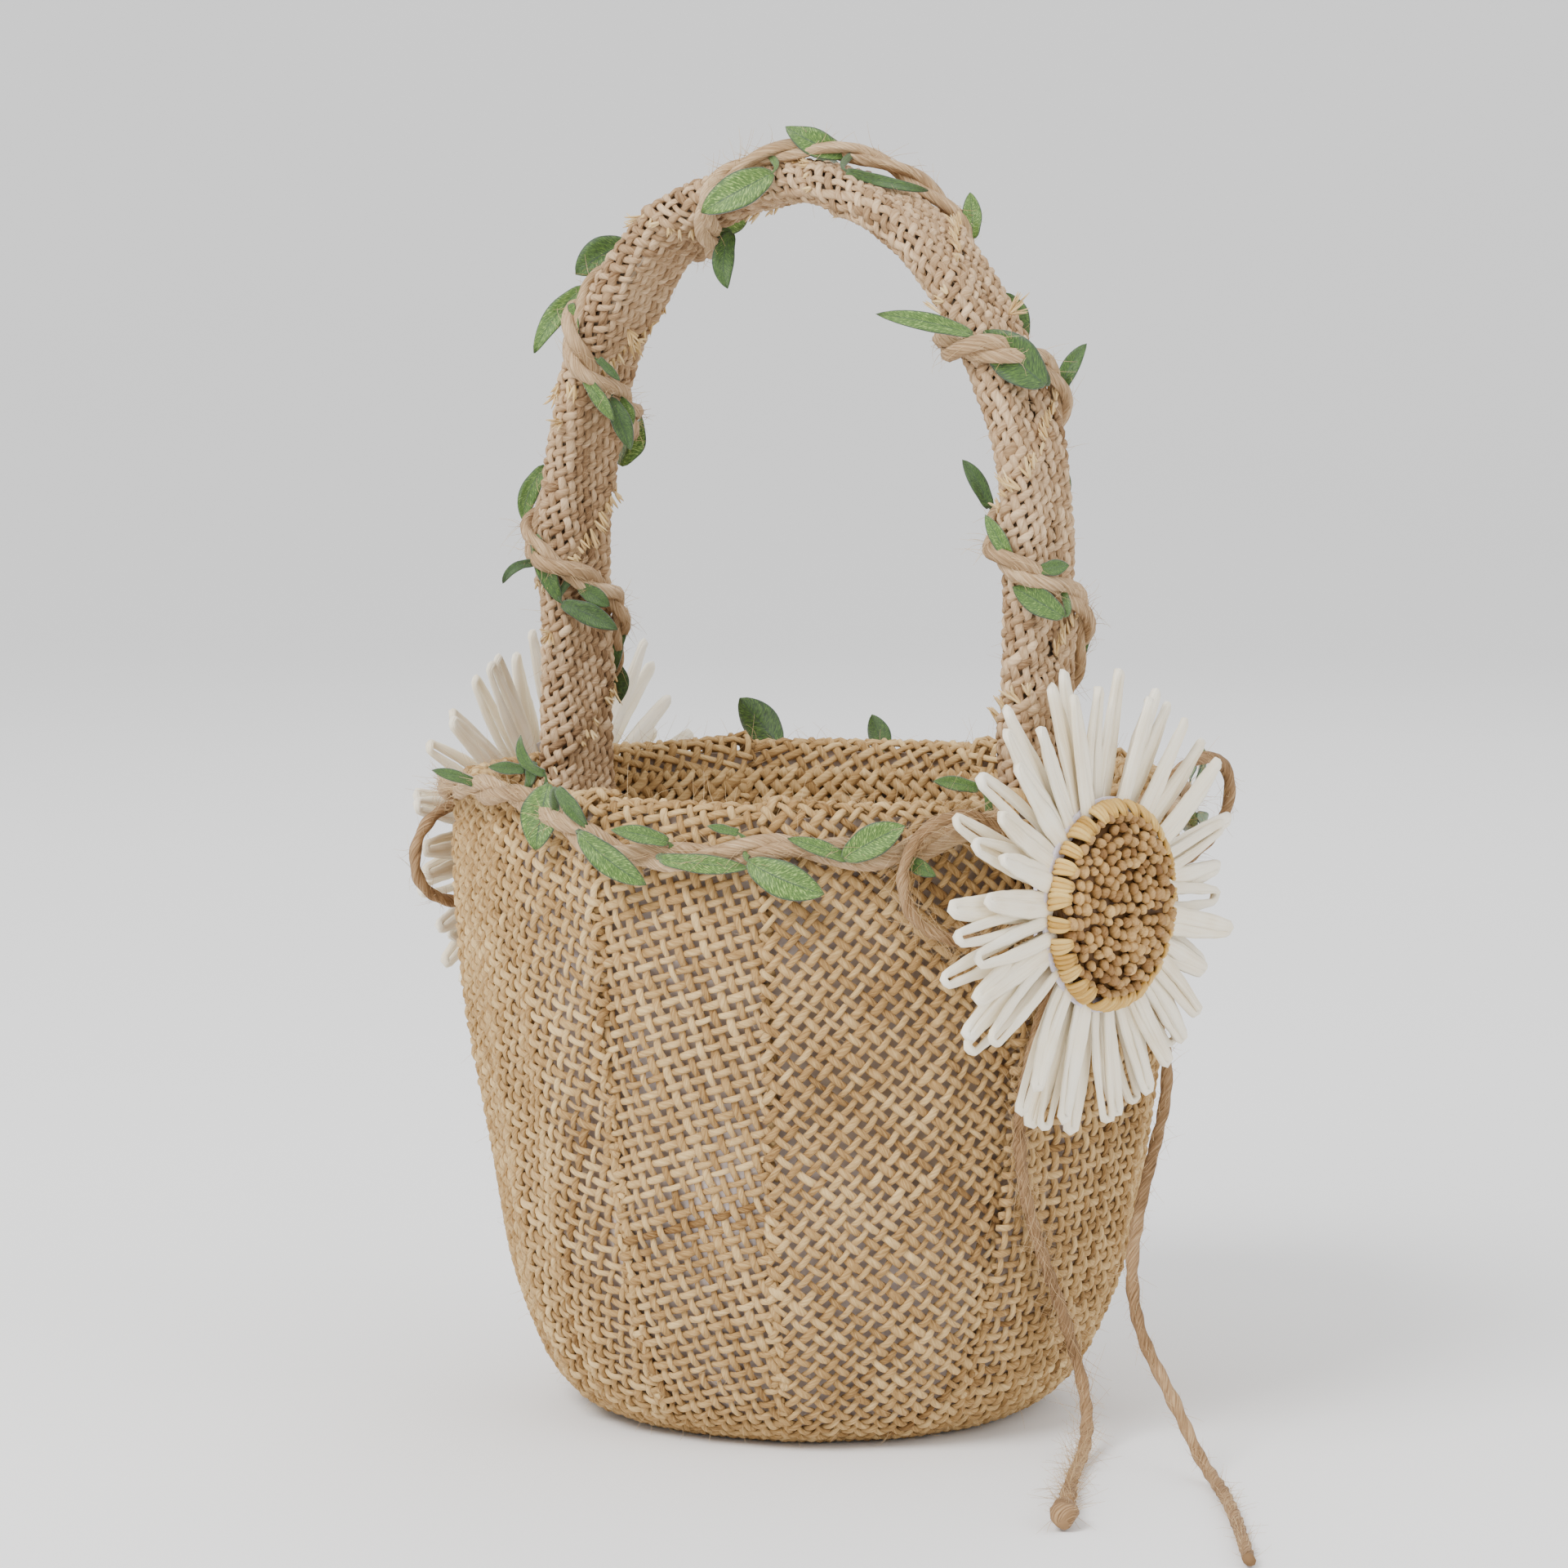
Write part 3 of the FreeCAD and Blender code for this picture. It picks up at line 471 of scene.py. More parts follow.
# Pleats as (angle round the bucket, which side's cloth lies on top: +1 the side of larger angles,
# height of its edge in mm, share of the wall's height down which it stays raised).
PLEATS = [
    (-87.0, -1, 2.0, 0.62), (-60.5, 1, 1.7, 0.75), (-20.0, 1, 2.0, 0.9), (22.0, -1, 1.8, 0.6),
    (62.0, 1, 1.8, 0.7), (98.0, -1, 1.6, 0.6), (140.0, 1, 1.9, 0.7), (182.0, -1, 1.6, 0.6),
    (222.0, 1, 1.8, 0.65),
]
PLEAT_TAKE_UP = 22.0   # cloth hidden in each pleat
GRAIN_ANGLE = CAMERA_TURN + 50.0    # where the cloth's grain runs straight up the wall


def pleat_height(theta, y, r, start, end, start_pleat, end_pleat):
    """How far the cloth stands out: a rounded edge where it lies on top of its neighbour, and soft
    flutes that fade towards the foot and the rim."""
    out = np.zeros_like(theta)
    for pleat, gone in ((start_pleat, theta - start), (end_pleat, end - theta)):
        angle, top_side, height, depth = pleat
        mine = (top_side > 0) == (pleat is start_pleat)
        from_edge = np.radians(gone) * r
        fade = ease(np.clip((y / WALL_TOP - (1 - depth)) / 0.35, 0, 1))
        if mine:
            rise = np.sqrt(np.clip(1 - (1 - np.clip(from_edge / 1.5, 0, 1)) ** 2, 0, 1))
            out += height * fade * rise * np.exp(-np.clip(from_edge, 0, None) / 7.0)
        else:
            out -= 0.25 * fade * np.exp(-np.clip(from_edge, 0, None) / 3.0)
    body = np.clip(y / 25, 0, 1) * np.clip((WALL_TOP - y) / 12 + 0.25, 0, 1)
    flutes = noise2(theta / 9.0 + 3, y / 70.0, 5) * 1.1 + noise2(theta / 4.5, y / 45.0, 6) * 0.5
    return out + body * (flutes + 0.9)


cover_pieces = []
EDGE_ON_TOP, EDGE_BENEATH = 0.2, 2.2    # how far a panel runs past the line of a fold
for number, pleat in enumerate(PLEATS):
    following = PLEATS[(number + 1) % len(PLEATS)]
    start = pleat[0]
    end = following[0] + (360 if following[0] <= start else 0)
    middle = (start + end) / 2
    grain = math.radians(middle - GRAIN_ANGLE)

    def to_angle(x, y):
        return middle + np.degrees(x / outline_at(y)[0])

    def inside(x, y):
        r = outline_at(y)[0]
        theta = to_angle(x, y)
        low = start - np.degrees((EDGE_ON_TOP if pleat[1] > 0 else EDGE_BENEATH) / r)
        high = end + np.degrees((EDGE_BENEATH if following[1] > 0 else EDGE_ON_TOP) / r)
        return (theta > low) & (theta < high) & (y > 0.3) & (y < OUTLINE_END)

    def place(x, y, up):
        r, z, nr, nz = outline_at(y)
        theta = to_angle(x, y)
        up = up - COVER_DROP + pleat_height(theta, y, r, start, end, pleat, following)
        turn = np.radians(theta)
        c, s = np.cos(turn), np.sin(turn)
        rr = r + up * nr
        normals = np.stack([nr * c, nr * s, nz], 1)
        return np.stack([rr * c, rr * s, np.maximum(z + up * nz, CLEAR_OF_FLOOR)], 1), normals

    half = math.radians(end - start) / 2 * 64 + 3
    near = abs((middle - CAMERA_TURN + 180) % 360 - 180) < 100
    cover_pieces.append(weave(
        "cover_panel_%d" % (number + 1), burlap, 6, place, inside, (-half, half, 0, OUTLINE_END),
        PITCH * turned(grain), PITCH * turned(grain + math.pi / 2), COVER_YARN, 100 + number,
        steps=3 if near else 2, slack=0.07))


# ---- the inside ----
LINING_IN = 6.7        # from the bucket's outer surface to the lining's inner one
lining_keys = [(np.interp(z, [p[1] for p in PROFILE], [p[0] for p in PROFILE]) - LINING_IN + 0.6, z)
               for z in (8, 15, 31, 61, 84, 100, 110)]
lining_line = smooth_line(lining_keys, 0.5)
lining_run = np.arange(len(lining_line)) * np.linalg.norm(lining_line[1] - lining_line[0])
LINING_SEAM = 122.0    # degrees round the bucket
LINING_FLOOR_Z, COVER_BASE_Z, COVER_BASE_R = 6.4, 0.72, 35.8


def lining_inside(x, y):
    r = np.interp(y, lining_run, lining_line[:, 0])
    return (np.abs(x) < math.pi * r + 1.5) & (y > 0) & (y < lining_run[-1])


def lining_place(x, y, up):
    r = np.interp(y, lining_run, lining_line[:, 0])
    z = np.interp(y, lining_run, lining_line[:, 1])
    seam = np.clip((x - (math.pi * r - 5.0)) / 1.2, 0, 1)
    turn = math.radians(LINING_SEAM + 180) + x / r
    r = r - up - 0.8 * seam - 0.3 * noise2(x / 22 + 9, y / 30, 8)
    c, s = np.cos(turn), np.sin(turn)
    return np.stack([r * c, r * s, z], 1), np.stack([-c, -s, 0 * c], 1)


bias = PITCH * math.sqrt(0.5)
lining = weave("lining_wall", burlap, 5, lining_place, lining_inside, (-190, 190, 0, lining_run[-1]),
               (bias, bias), (-bias, bias), LINING_YARN, 300)


def disc(name, z, radius, half, facing, angle, yarn, seed, tone):
    """A flat round piece of the cloth, whose outer side faces up (1) or down (-1)."""
    def place(x, y, up):
        normals = np.zeros((len(x), 3))
        normals[:, 2] = facing
        return np.stack([x, y, z + facing * up], 1), normals

    return weave(name, burlap, 5, place, lambda x, y: np.hypot(x, y) < radius, (-half, half, -half, half),
                 PITCH * turned(angle), PITCH * turned(angle + math.pi / 2), yarn, seed, tone=tone)


floor_r = float(lining_line[0, 0]) + 0.4
lining_floor = disc("lining_bottom", LINING_FLOOR_Z, floor_r, floor_r, 1, 0.0, LINING_FLOOR_YARN, 301, 0.46)
cover_base = disc("cover_base", COVER_BASE_Z, COVER_BASE_R, 36.0, -1, math.radians(GRAIN_ANGLE), BASE_YARN,
                  302, 0.5)


# ---- the handle ----
haunch_x = HOOP_HALF_SPAN - HAUNCH_R
crown_rise = math.sqrt((HAUNCH_R - CROWN_R) ** 2 - haunch_x**2)
HAUNCH = math.atan2(crown_rise, -haunch_x)
LEG = SPRING_Z - LEG_BOTTOM_Z
HALF_HOOP = LEG + HAUNCH_R * HAUNCH + CROWN_R * (math.pi / 2 - HAUNCH)


SHOULDER_AT, SHOULDER_SHIFT, SHOULDER_PUFF = 134.0, 1.5, 1.6    # the left shoulder is wrapped thicker


def hoop_at(distance):
    """Points of the hoop's middle line, its directions and its outward normals."""
    distance = np.asarray(distance, float)
    left = distance <= HALF_HOOP
    run = np.where(left, distance, 2 * HALF_HOOP - distance)
    drop = np.clip(LEG - run, 0, None)
    turn = np.clip((run - LEG) / HAUNCH_R, 0, HAUNCH)
    crown = np.clip(run - LEG - HAUNCH_R * HAUNCH, 0, None) / CROWN_R
    angle = np.where(run < LEG, -drop / LEG_BEND_R, turn + crown)
    x = haunch_x + HAUNCH_R * np.cos(turn) + CROWN_R * (np.cos(turn + crown) - np.cos(turn))
    z = SPRING_Z + HAUNCH_R * np.sin(turn) + CROWN_R * (np.sin(turn + crown) - np.sin(turn))
    x = np.where(run < LEG, HOOP_HALF_SPAN - drop**2 / (2 * LEG_BEND_R), x)
    z = np.where(run < LEG, SPRING_Z - drop, z)
    side = np.where(left, -1.0, 1.0)
    zero = np.zeros_like(x)
    points = np.stack([side * x, zero + HANDLE_Y, z], -1)
    outward = np.stack([side * np.cos(angle), zero, np.sin(angle)], -1)
    forward = np.stack([np.sin(angle), zero, np.where(left, 1.0, -1.0) * np.cos(angle)], -1)
    shoulder = SHOULDER_SHIFT * np.exp(-((distance - SHOULDER_AT) / 20.0) ** 2)
    return points + outward * shoulder[..., None], forward, outward


FLAT = WRAP_W - WRAP_T - 0.6
EDGE_R = WRAP_T / 2 - 0.45
AROUND = 2 * FLAT + 2 * math.pi * EDGE_R


def band_at(distance, around, up):
    """A point on the wrap: around runs round the band from the middle of its outer face towards +Y."""
    points, _, outward = hoop_at(distance)
    across = np.array([0.0, 1.0, 0.0])
    bend = math.pi * EDGE_R
    corners = [FLAT / 2, FLAT / 2 + bend, 1.5 * FLAT + bend, 1.5 * FLAT + 2 * bend]
    c = np.mod(around, AROUND)
    turn = np.interp(c, corners, [0, math.pi, math.pi, 2 * math.pi])
    shift = np.interp(c, [0, *corners, AROUND], [0, FLAT / 2, FLAT / 2, -FLAT / 2, -FLAT / 2, 0])
    away = outward * np.cos(turn)[:, None] + across * np.sin(turn)[:, None]
    place = points + across * shift[:, None] + away * (EDGE_R + up)[:, None]
    return place, away


HOOP_LENGTH = 2 * HALF_HOOP
TURN_ADVANCE, FIRST_LAP = 36.0, -9.0    # how far each turn of the strip moves, and where one would start


def lap_distance(along, around):
    """Distance along the handle past the last edge of the wound strip, from 0 to TURN_ADVANCE."""
    return np.mod(along + around / AROUND * TURN_ADVANCE - FIRST_LAP, TURN_ADVANCE)


def wrap_place(x, y, up):
    past = lap_distance(y, x)
    lap = np.where(past < 1.0, past, np.exp(-(past - 1.0) / 9.0))
    bulge = 0.9 * lap + 0.22 * noise2(x / 7.0, y / 9.0, 12)
    outer_face = np.clip(np.cos(2 * math.pi * x / AROUND) + 0.2, 0, 1)
    bulge = bulge + SHOULDER_PUFF * outer_face * np.exp(-((y - SHOULDER_AT) / 16.0) ** 2)
    return band_at(y, x, up + bulge)


def wrap_inside(x, y):
    return (x >= 0) & (x <= AROUND) & (y > 0.4) & (y < HOOP_LENGTH - 0.4)


wrap = weave("wrap_weave", wrap_burlap, 6, wrap_place, wrap_inside, (0, AROUND, 0, HOOP_LENGTH),
             WRAP_STEPS[0] * turned(math.radians(-38)), WRAP_STEPS[1] * turned(math.radians(80)), WRAP_YARN,
             400, steps=3, slack=0.08, tone=0.51)


# ---- twine ----
def frames(line, first):
    """Normals along a line that turn as little as they can, from the first one given."""
    along = unit(np.gradient(line, axis=0))
    normals = np.zeros_like(line)
    n = np.asarray(first, float)
    for i, t in enumerate(along):
        n = n - t * n.dot(t)
        n = n / np.linalg.norm(n)
        normals[i] = n
    return normals


def strand(tubes, line, normals, diameter, seed, plies=5, lay=11.0, depth=0.11, tone=0.5, flat=1.0):
    """One twisted strand of jute, a little uneven along its length."""
    run = np.arange(len(line))
    swell = 1 + 0.07 * value_noise(run, seed, 9.0) + 0.05 * value_noise(run, seed + 1, 3.0)
    tones = tone + 0.2 * value_noise(run, seed + 2, 14.0) + 0.08 * value_noise(run, seed + 3, 4.0)
    tubes.add(line, normals, diameter * swell, diameter * flat * swell, tones, plies, 2 * math.pi / lay,
              depth, phase=seed)


def pair(tubes, line, normals, spread, pitch, diameter, seed, open_up):
    """Two strands laid round each other. open_up widens and flattens the pair along its length."""
    along = unit(np.gradient(line, axis=0))
    across = unit(np.cross(along, normals))
    run = run_along(line)
    wobble = 0.7 * value_noise(run, seed, pitch * 0.8)
    made = []
    for k in (0, 1):
        turn = 2 * math.pi * run / pitch + k * math.pi + wobble
        wide, deep = spread * (1 + open_up), 0.75 * spread
        path = line + across * (wide * np.cos(turn))[:, None] + normals * (deep * np.sin(turn))[:, None]
        strand(tubes, path, normals, diameter, seed + 10 + k, tone=0.47 + 0.08 * k, flat=0.78)
        made.append(path)
    return made


hairs = Tubes(3)


def hair(line, across, width, end, tone):
    thin = width * np.linspace(1, end, len(line))
    hairs.add(line, np.tile(unit(across), (len(line), 1)), thin, thin, tone)


def hair_on(path, radius, count, seed, length=(2.0, 5.0), lie=0.8, width=0.10, away=None, tone=0.55):
    """Loose fibres that leave a strand or an edge at random, mostly along it."""
    local = np.random.default_rng(seed)
    along = unit(np.gradient(path, axis=0))
    for _ in range(count):
        i = local.integers(1, len(path) - 1)
        out = local.normal(size=3)
        if away is not None:
            out = away[i] * 1.1 + 0.8 * out
        out = out - along[i] * out.dot(along[i])
        out = out / np.linalg.norm(out)
        if path[i][2] + out[2] * 2 < 1.2:
            out[2] = abs(out[2])
        go = along[i] * (lie * local.choice([-1, 1])) + out * local.uniform(0.35, 1.0)
        bend = local.normal(size=3) * 0.5
        reach = local.uniform(*length)
        t = np.linspace(0, 1, 5)[:, None]
        line = path[i] + out * radius * 0.8 + reach * (unit(go) * t + bend * 0.5 * t * t)
        line[:, 2] = np.maximum(line[:, 2], 0.3)
        hair(line, np.cross(go, [0.3, 0.5, 0.8]), width, 0.35, tone + 0.25 * local.normal())


def rim_at(degrees, z, radius):
    turn = np.radians(degrees)
    return np.stack([radius * np.cos(turn), radius * np.sin(turn), z], -1)


FRONT_GARLAND = [
    (-24, 112.0), (-33, 109.5), (-41, 106.6), (-50, 107.4), (-58, 108.2), (-66, 106.6), (-75, 106.0),
    (-84, 106.6), (-92, 110.0), (-99, 113.4), (-109, 114.3), (-120, 114.2), (-132, 113.4), (-144, 111.6),
    (-156, 109.0),
]
BACK_GARLAND = [
    (18, 108.5), (30, 110.4), (43, 109.6), (56, 107.2), (69, 106.0), (82, 106.8), (95, 108.6),
    (108, 109.6), (121, 108.4), (134, 110.0), (147, 109.0), (156, 107.0),
]
GARLAND_R = 66.2
garland_tubes, garland_lines = {}, {}
for seed, (side, keys) in enumerate((("front", FRONT_GARLAND), ("back", BACK_GARLAND))):
    course = smooth_line([(a * 1.1, z) for a, z in keys], 0.8)
    line = rim_at(course[:, 0] / 1.1, course[:, 1], GARLAND_R)
    away = unit(line * np.array([1, 1, 0]))
    tubes = Tubes(16)
    run = np.arange(len(line)) * 0.8
    for path in pair(tubes, line, away, 1.2, 30.0, 2.75, 500 + 20 * seed, 0.4 * value_noise(run, 3, 9.0)):
        hair_on(path, 1.3, 260, 520 + seed, away=away)
    garland_lines[side] = line
    garland_tubes[side] = tubes.build("rim_garland_" + side, twine_mat)

HANDLE_TURNS = [
    (43.0, -330), (65.4, -225), (80.6, -45), (102.9, 135), (121.0, 315), (160.7, 630),
    (201.9, 810), (222.2, 945), (233.8, 1125), (258.8, 1305), (272.8, 1485), (297.8, 1590),
]


def round_handle(distance, degrees, clear):
    """Points round the handle, clear of its wrap, with the hoop's direction and outward normals."""
    centre, forward, outward = hoop_at(distance)
    across = np.array([0.0, 1.0, 0.0])
    turn = np.radians(degrees)[..., None]
    thin, wide = WRAP_T / 2 + 2.0 + clear, WRAP_W / 2 + 1.1 + clear
    place = centre + outward * (thin * np.cos(turn)) + across * (wide * np.sin(turn))
    away = unit(outward * (np.cos(turn) / thin) + across * (np.sin(turn) / wide))
    return place, forward, away


course = smooth_line([(s, a / 12.0) for s, a in HANDLE_TURNS], 0.5)
line, forward, away = round_handle(course[:, 0], course[:, 1] * 12.0, 1.3)
line = even(np.hstack([line, away]), 0.8)
line, away = line[:, :3], unit(line[:, 3:])
tubes = Tubes(16)
run = np.arange(len(line)) * 0.8
handle_line = line
for path in pair(tubes, line, away, 1.15, 26.0, 2.6, 560, 0.3 * value_noise(run, 4, 8.0)):
    hair_on(path, 1.2, 420, 575, away=away)
handle_twine = tubes.build("handle_garland", twine_mat)


# ---- leaves ----
def leaf(sheets, base, forward, sideways, outward, bearing, lift, length, width, curl=0.5, twist=0.0,
         cup=0.35, tone=0.5, swing=0.0):
    """A satin leaf with a narrow stem and a pointed tip. It leaves base at a bearing and a lift, and
    along its length bends by curl, rolls by twist and turns sideways by swing (radians)."""
    turn, rise = math.radians(bearing), math.radians(lift)
    flat = forward * math.cos(turn) + sideways * math.sin(turn)
    along = flat * math.cos(rise) + outward * math.sin(rise)
    normal = outward * math.cos(rise) - flat * math.sin(rise)
    side = np.cross(normal, along)
    rows, cols = 15, 7
    s = np.linspace(0, 1, rows)
    half = width / 2 * np.sin(math.pi * s**0.95) ** 0.75 + 0.6 * np.clip(1 - s / 0.25, 0, 1)
    half[-1] = 0.03
    across = np.linspace(-1, 1, cols)
    grid, normals = np.zeros((rows, cols, 3)), np.zeros((rows, cols, 3))
    place = base.astype(float).copy()
    for i in range(rows):
        bend = curl * (s[i] - 0.5)
        veer = swing * (s[i] - 0.5)
        ahead = along * math.cos(veer) + side * math.sin(veer)
        level = side * math.cos(veer) - along * math.sin(veer)
        go = ahead * math.cos(bend) - normal * math.sin(bend)
        up = normal * math.cos(bend) + ahead * math.sin(bend)
        roll = twist * (s[i] - 0.3)
        wide = level * math.cos(roll) + up * math.sin(roll)
        up = up * math.cos(roll) - level * math.sin(roll)
        if i:
            place = place + go * length / (rows - 1)
        wave = 0.06 * length * np.sin(s[i] * 9 + tone * 20) * across
        height = cup * np.abs(across) * half[i] + wave * 0.4
        grid[i] = place + wide * (across * half[i])[:, None] + up * height[:, None]
        lean = up - wide * (np.sign(across) * cup)[:, None]
        normals[i] = unit(lean)
    sheets.add(grid, normals, 0.22, tone)


# In the two tables of seen leaves, tone follows how lit each leaf looks: painted light and shade over the
# leaf's own green.
# Leaves placed one by one: base, tip, width, curl, swing, tone (dark to bright).
HANDLE_LEAVES_SEEN = [
    ((1.2, -14.2, 221.1), (-8.2, -22.4, 214.2), 6.5, 0.5, 0.0, 0.75),
    ((-15.4, -5.0, 210.7), (-15.6, -6.4, 201.0), 4.0, 0.3, 0.9, 0.35),
    ((-42.0, -2.2, 208.8), (-49.0, -8.6, 203.4), 6.4, 0.5, 0.4, 0.35),
    ((-45.3, -10.5, 200.9), (-51.8, -17.1, 189.4), 3.9, 0.5, 0.5, 0.70),
    ((-45.1, -14.6, 197.9), (-43.7, -14.3, 191.8), 1.6, 0.3, 0.0, 0.75),
    ((-40.2, -12.7, 188.0), (-36.9, -10.6, 184.1), 1.6, 0.3, 0.0, 0.30),
    ((-42.4, -14.0, 184.7), (-37.7, -11.4, 176.8), 2.7, 0.4, 0.0, 0.70),
    ((-41.2, -8.5, 180.8), (-37.6, -6.8, 171.6), 3.6, 0.4, -0.3, 0.25),
    ((-41.1, -5.9, 180.7), (-38.8, -4.7, 176.0), 3.3, 0.6, 0.2, 0.70),
    ((-60.6, -3.9, 167.7), (-63.4, -7.2, 157.9), 3.6, 0.5, 0.7, 0.60),
    ((-53.6, -15.0, 155.8), (-49.2, -13.1, 143.5), 3.6, 0.6, 0.3, 0.45),
    ((-52.8, -16.5, 150.7), (-56.7, -19.9, 147.6), 1.8, 1.0, 1.3, 0.15),
    ((-47.2, -10.1, 146.4), (-42.6, -6.9, 142.8), 3.3, 0.4, 0.0, 0.35),
    ((-48.9, -13.0, 143.3), (-40.7, -7.0, 138.7), 4.0, 0.4, -0.2, 0.20),
    ((-50.0, 5.6, 136.7), (-50.7, 4.1, 129.8), 2.1, 0.4, 0.5, 0.40),
    ((10.2, -4.8, 224.5), (1.7, -10.9, 229.0), 4.9, 0.6, -0.5, 0.65),
    ((6.2, -7.5, 224.7), (14.3, -1.1, 223.7), 1.4, 0.3, 0.2, 0.55),
    ((14.5, -10.1, 221.3), (25.8, -1.6, 217.9), 2.2, 0.3, 0.2, 0.30),
    ((29.5, 6.6, 209.7), (28.7, 6.9, 217.7), 3.5, 0.3, 0.1, 0.75),
    ((45.4, -14.9, 193.3), (32.3, -24.8, 196.9), 3.2, 0.3, 0.2, 0.70),
    ((54.4, -6.0, 184.7), (45.6, -11.8, 193.9), 7.9, 0.5, -0.2, 0.30),
    ((49.8, 4.3, 182.3), (52.9, 7.9, 191.5), 3.1, 0.4, -0.5, 0.35),
    ((44.4, -8.4, 163.4), (40.3, -10.6, 171.7), 3.0, 0.4, 0.3, 0.20),
    ((54.0, -15.3, 154.8), (50.0, -17.4, 162.8), 2.8, 0.4, 0.0, 0.70),
    ((57.5, -11.6, 153.3), (61.3, -8.5, 154.2), 2.8, 0.4, 0.0, 0.40),
    ((60.8, -9.4, 145.4), (53.7, -14.4, 150.5), 4.7, 0.4, 0.0, 0.60),
    ((53.0, 6.1, 136.1), (53.4, 7.8, 147.0), 2.7, 0.4, 0.2, 0.50),
]
RIM_LEAVES_SEEN = [
    ((-27.1, -60.3, 115.2), (-32.7, -64.5, 117.5), 2.1, 0.5, 0.3, 0.40),
    ((-12.9, -63.7, 118.8), (-17.5, -67.3, 119.2), 2.2, 0.3, 0.0, 0.35),
    ((-11.4, -63.2, 120.1), (-11.2, -63.5, 115.9), 2.2, 0.4, 0.0, 0.40),
    ((-8.6, -63.5, 118.4), (-11.9, -65.4, 124.2), 2.0, 0.6, -1.6, 0.45),
    ((-6.8, -63.7, 116.5), (-7.2, -65.4, 105.2), 6.9, 0.4, 0.0, 0.70),
    ((-2.0, -67.4, 116.5), (3.0, -64.3, 109.7), 2.9, 0.4, 0.0, 0.40),
    ((4.9, -69.8, 109.6), (14.8, -63.1, 100.7), 4.8, 0.4, 0.3, 0.70),
    ((18.4, -63.2, 108.4), (11.1, -68.7, 110.4), 3.0, 0.4, 0.2, 0.65),
    ((18.8, -65.9, 105.8), (31.1, -56.4, 104.2), 3.3, 0.3, 0.1, 0.75),
    ((31.4, -58.3, 105.5), (41.8, -50.8, 100.0), 6.2, 0.4, 0.3, 0.75),
    ((29.7, -59.1, 110.4), (25.6, -62.1, 111.5), 1.6, 0.3, 0.0, 0.60),
    ((44.6, -49.0, 106.1), (36.6, -54.9, 109.5), 2.7, 0.4, 0.2, 0.70),
    ((44.2, -49.4, 106.1), (51.8, -42.7, 111.6), 5.5, 0.4, -0.2, 0.75),
    ((51.2, -42.3, 106.2), (55.4, -39.3, 103.0), 2.7, 0.4, 0.2, 0.50),
    ((57.6, -29.9, 117.2), (51.3, -34.7, 118.5), 2.5, 0.4, 0.2, 0.55),
]
# Distance along the hoop, degrees round the band, bearing, lift, length, width, curl.
HANDLE_LEAVES_BEHIND = [
    (56, 80, 175, 15, 9, 4.5, 0.4), (92, 90, 10, 15, 10, 5, 0.4), (140, 80, 20, 15, 9, 5, 0.5),
    (172, 70, 170, 15, 10, 5, 0.5), (214, 95, 10, 15, 9, 4.5, 0.4), (246, 110, 10, 15, 9, 5, 0.5),
    (284, 110, 175, 15, 8, 4, 0.4),
]
# Angle round the rim, height, bearing, lift, length, width, curl.
RIM_LEAVES_BEHIND = [
    (24, 112.0, 70, 10, 9, 4.5, 0.4), (33, 107.0, -30, 8, 10, 5, 0.4), (46, 110.5, 30, 10, 9, 4, 0.4),
    (55, 104.5, 190, 8, 10, 5, 0.4), (68, 103.5, -25, 8, 12, 5.5, 0.4), (79, 106.0, 15, 10, 9, 4.5, 0.4),
    (90, 105.5, 200, 8, 10, 5, 0.4), (103, 107.0, -30, 8, 11, 5, 0.4), (117, 111.5, 70, 12, 8, 4.5, 0.4),
    (128, 106.0, 205, 8, 10, 5, 0.4), (134, 113.0, 50, 12, 12, 7, 0.5), (148, 106.0, -20, 8, 9, 4.5, 0.4),
]


def leaf_between(sheets, base, tip, face, width, curl, swing, tone, twist):
    base, tip = np.array(base), np.array(tip)
    forward = tip - base
    length = np.linalg.norm(forward)
    forward = forward / length
    outward = unit(face - forward * face.dot(forward))
    bent = abs(curl) / 2 + abs(swing) / 2
    length = length * (1 + bent**2 / 6)
    leaf(sheets, base, forward, np.cross(outward, forward), outward, 0, 0, length, width, curl, twist, 0.3,
         tone, swing)


def stem_to(sheets, base, tip, twine, tone):
    """A narrow ribbon from the leaf's base back to the twine it grows from."""
    base = np.array(base)
    near = twine[np.argmin(np.linalg.norm(twine - base, axis=1))]
    gap = np.linalg.norm(near - base)
    if gap < 0.6:
        return
    ahead = unit(np.array(tip) - base)
    t = np.linspace(0, 1, 9)[:, None]
    bend = base - ahead * min(gap, 5.0) * 0.5
    line = near * (1 - t) ** 2 + bend * 2 * t * (1 - t) + (base + ahead * 0.8) * t * t
    along = unit(np.gradient(line, axis=0))
    side = unit(np.cross(along, TO_CAMERA))
    half = (0.45 + 0.25 * np.sin(np.linspace(0, 6, 9)))[:, None]
    grid = np.stack([line - side * half, line, line + side * half], 1)
    normals = np.repeat(unit(np.cross(side, along))[:, None], 3, 1)
    sheets.add(grid, normals, 0.25, tone)


leaf_rng = np.random.default_rng(41)
TO_CAMERA = np.append(turned(math.radians(CAMERA_TURN)), 0.15)
sheets = Sheets()
for base, tip, width, curl, swing, tone in HANDLE_LEAVES_SEEN:
    leaf_between(sheets, base, tip, TO_CAMERA, width, curl, swing, tone, leaf_rng.uniform(-0.4, 0.4))
    stem_to(sheets, base, tip, handle_line, tone)
for distance, degrees, *rest in HANDLE_LEAVES_BEHIND:
    base, forward, away = round_handle(np.array(float(distance)), np.array(float(degrees)), 2.0)
    leaf(sheets, base, forward, -np.cross(forward, away), away, *rest,
         twist=leaf_rng.uniform(-0.5, 0.5), tone=leaf_rng.uniform(0.1, 0.9))
handle_leaves = sheets.build("handle_leaves", leaf_mat)
sheets = Sheets()
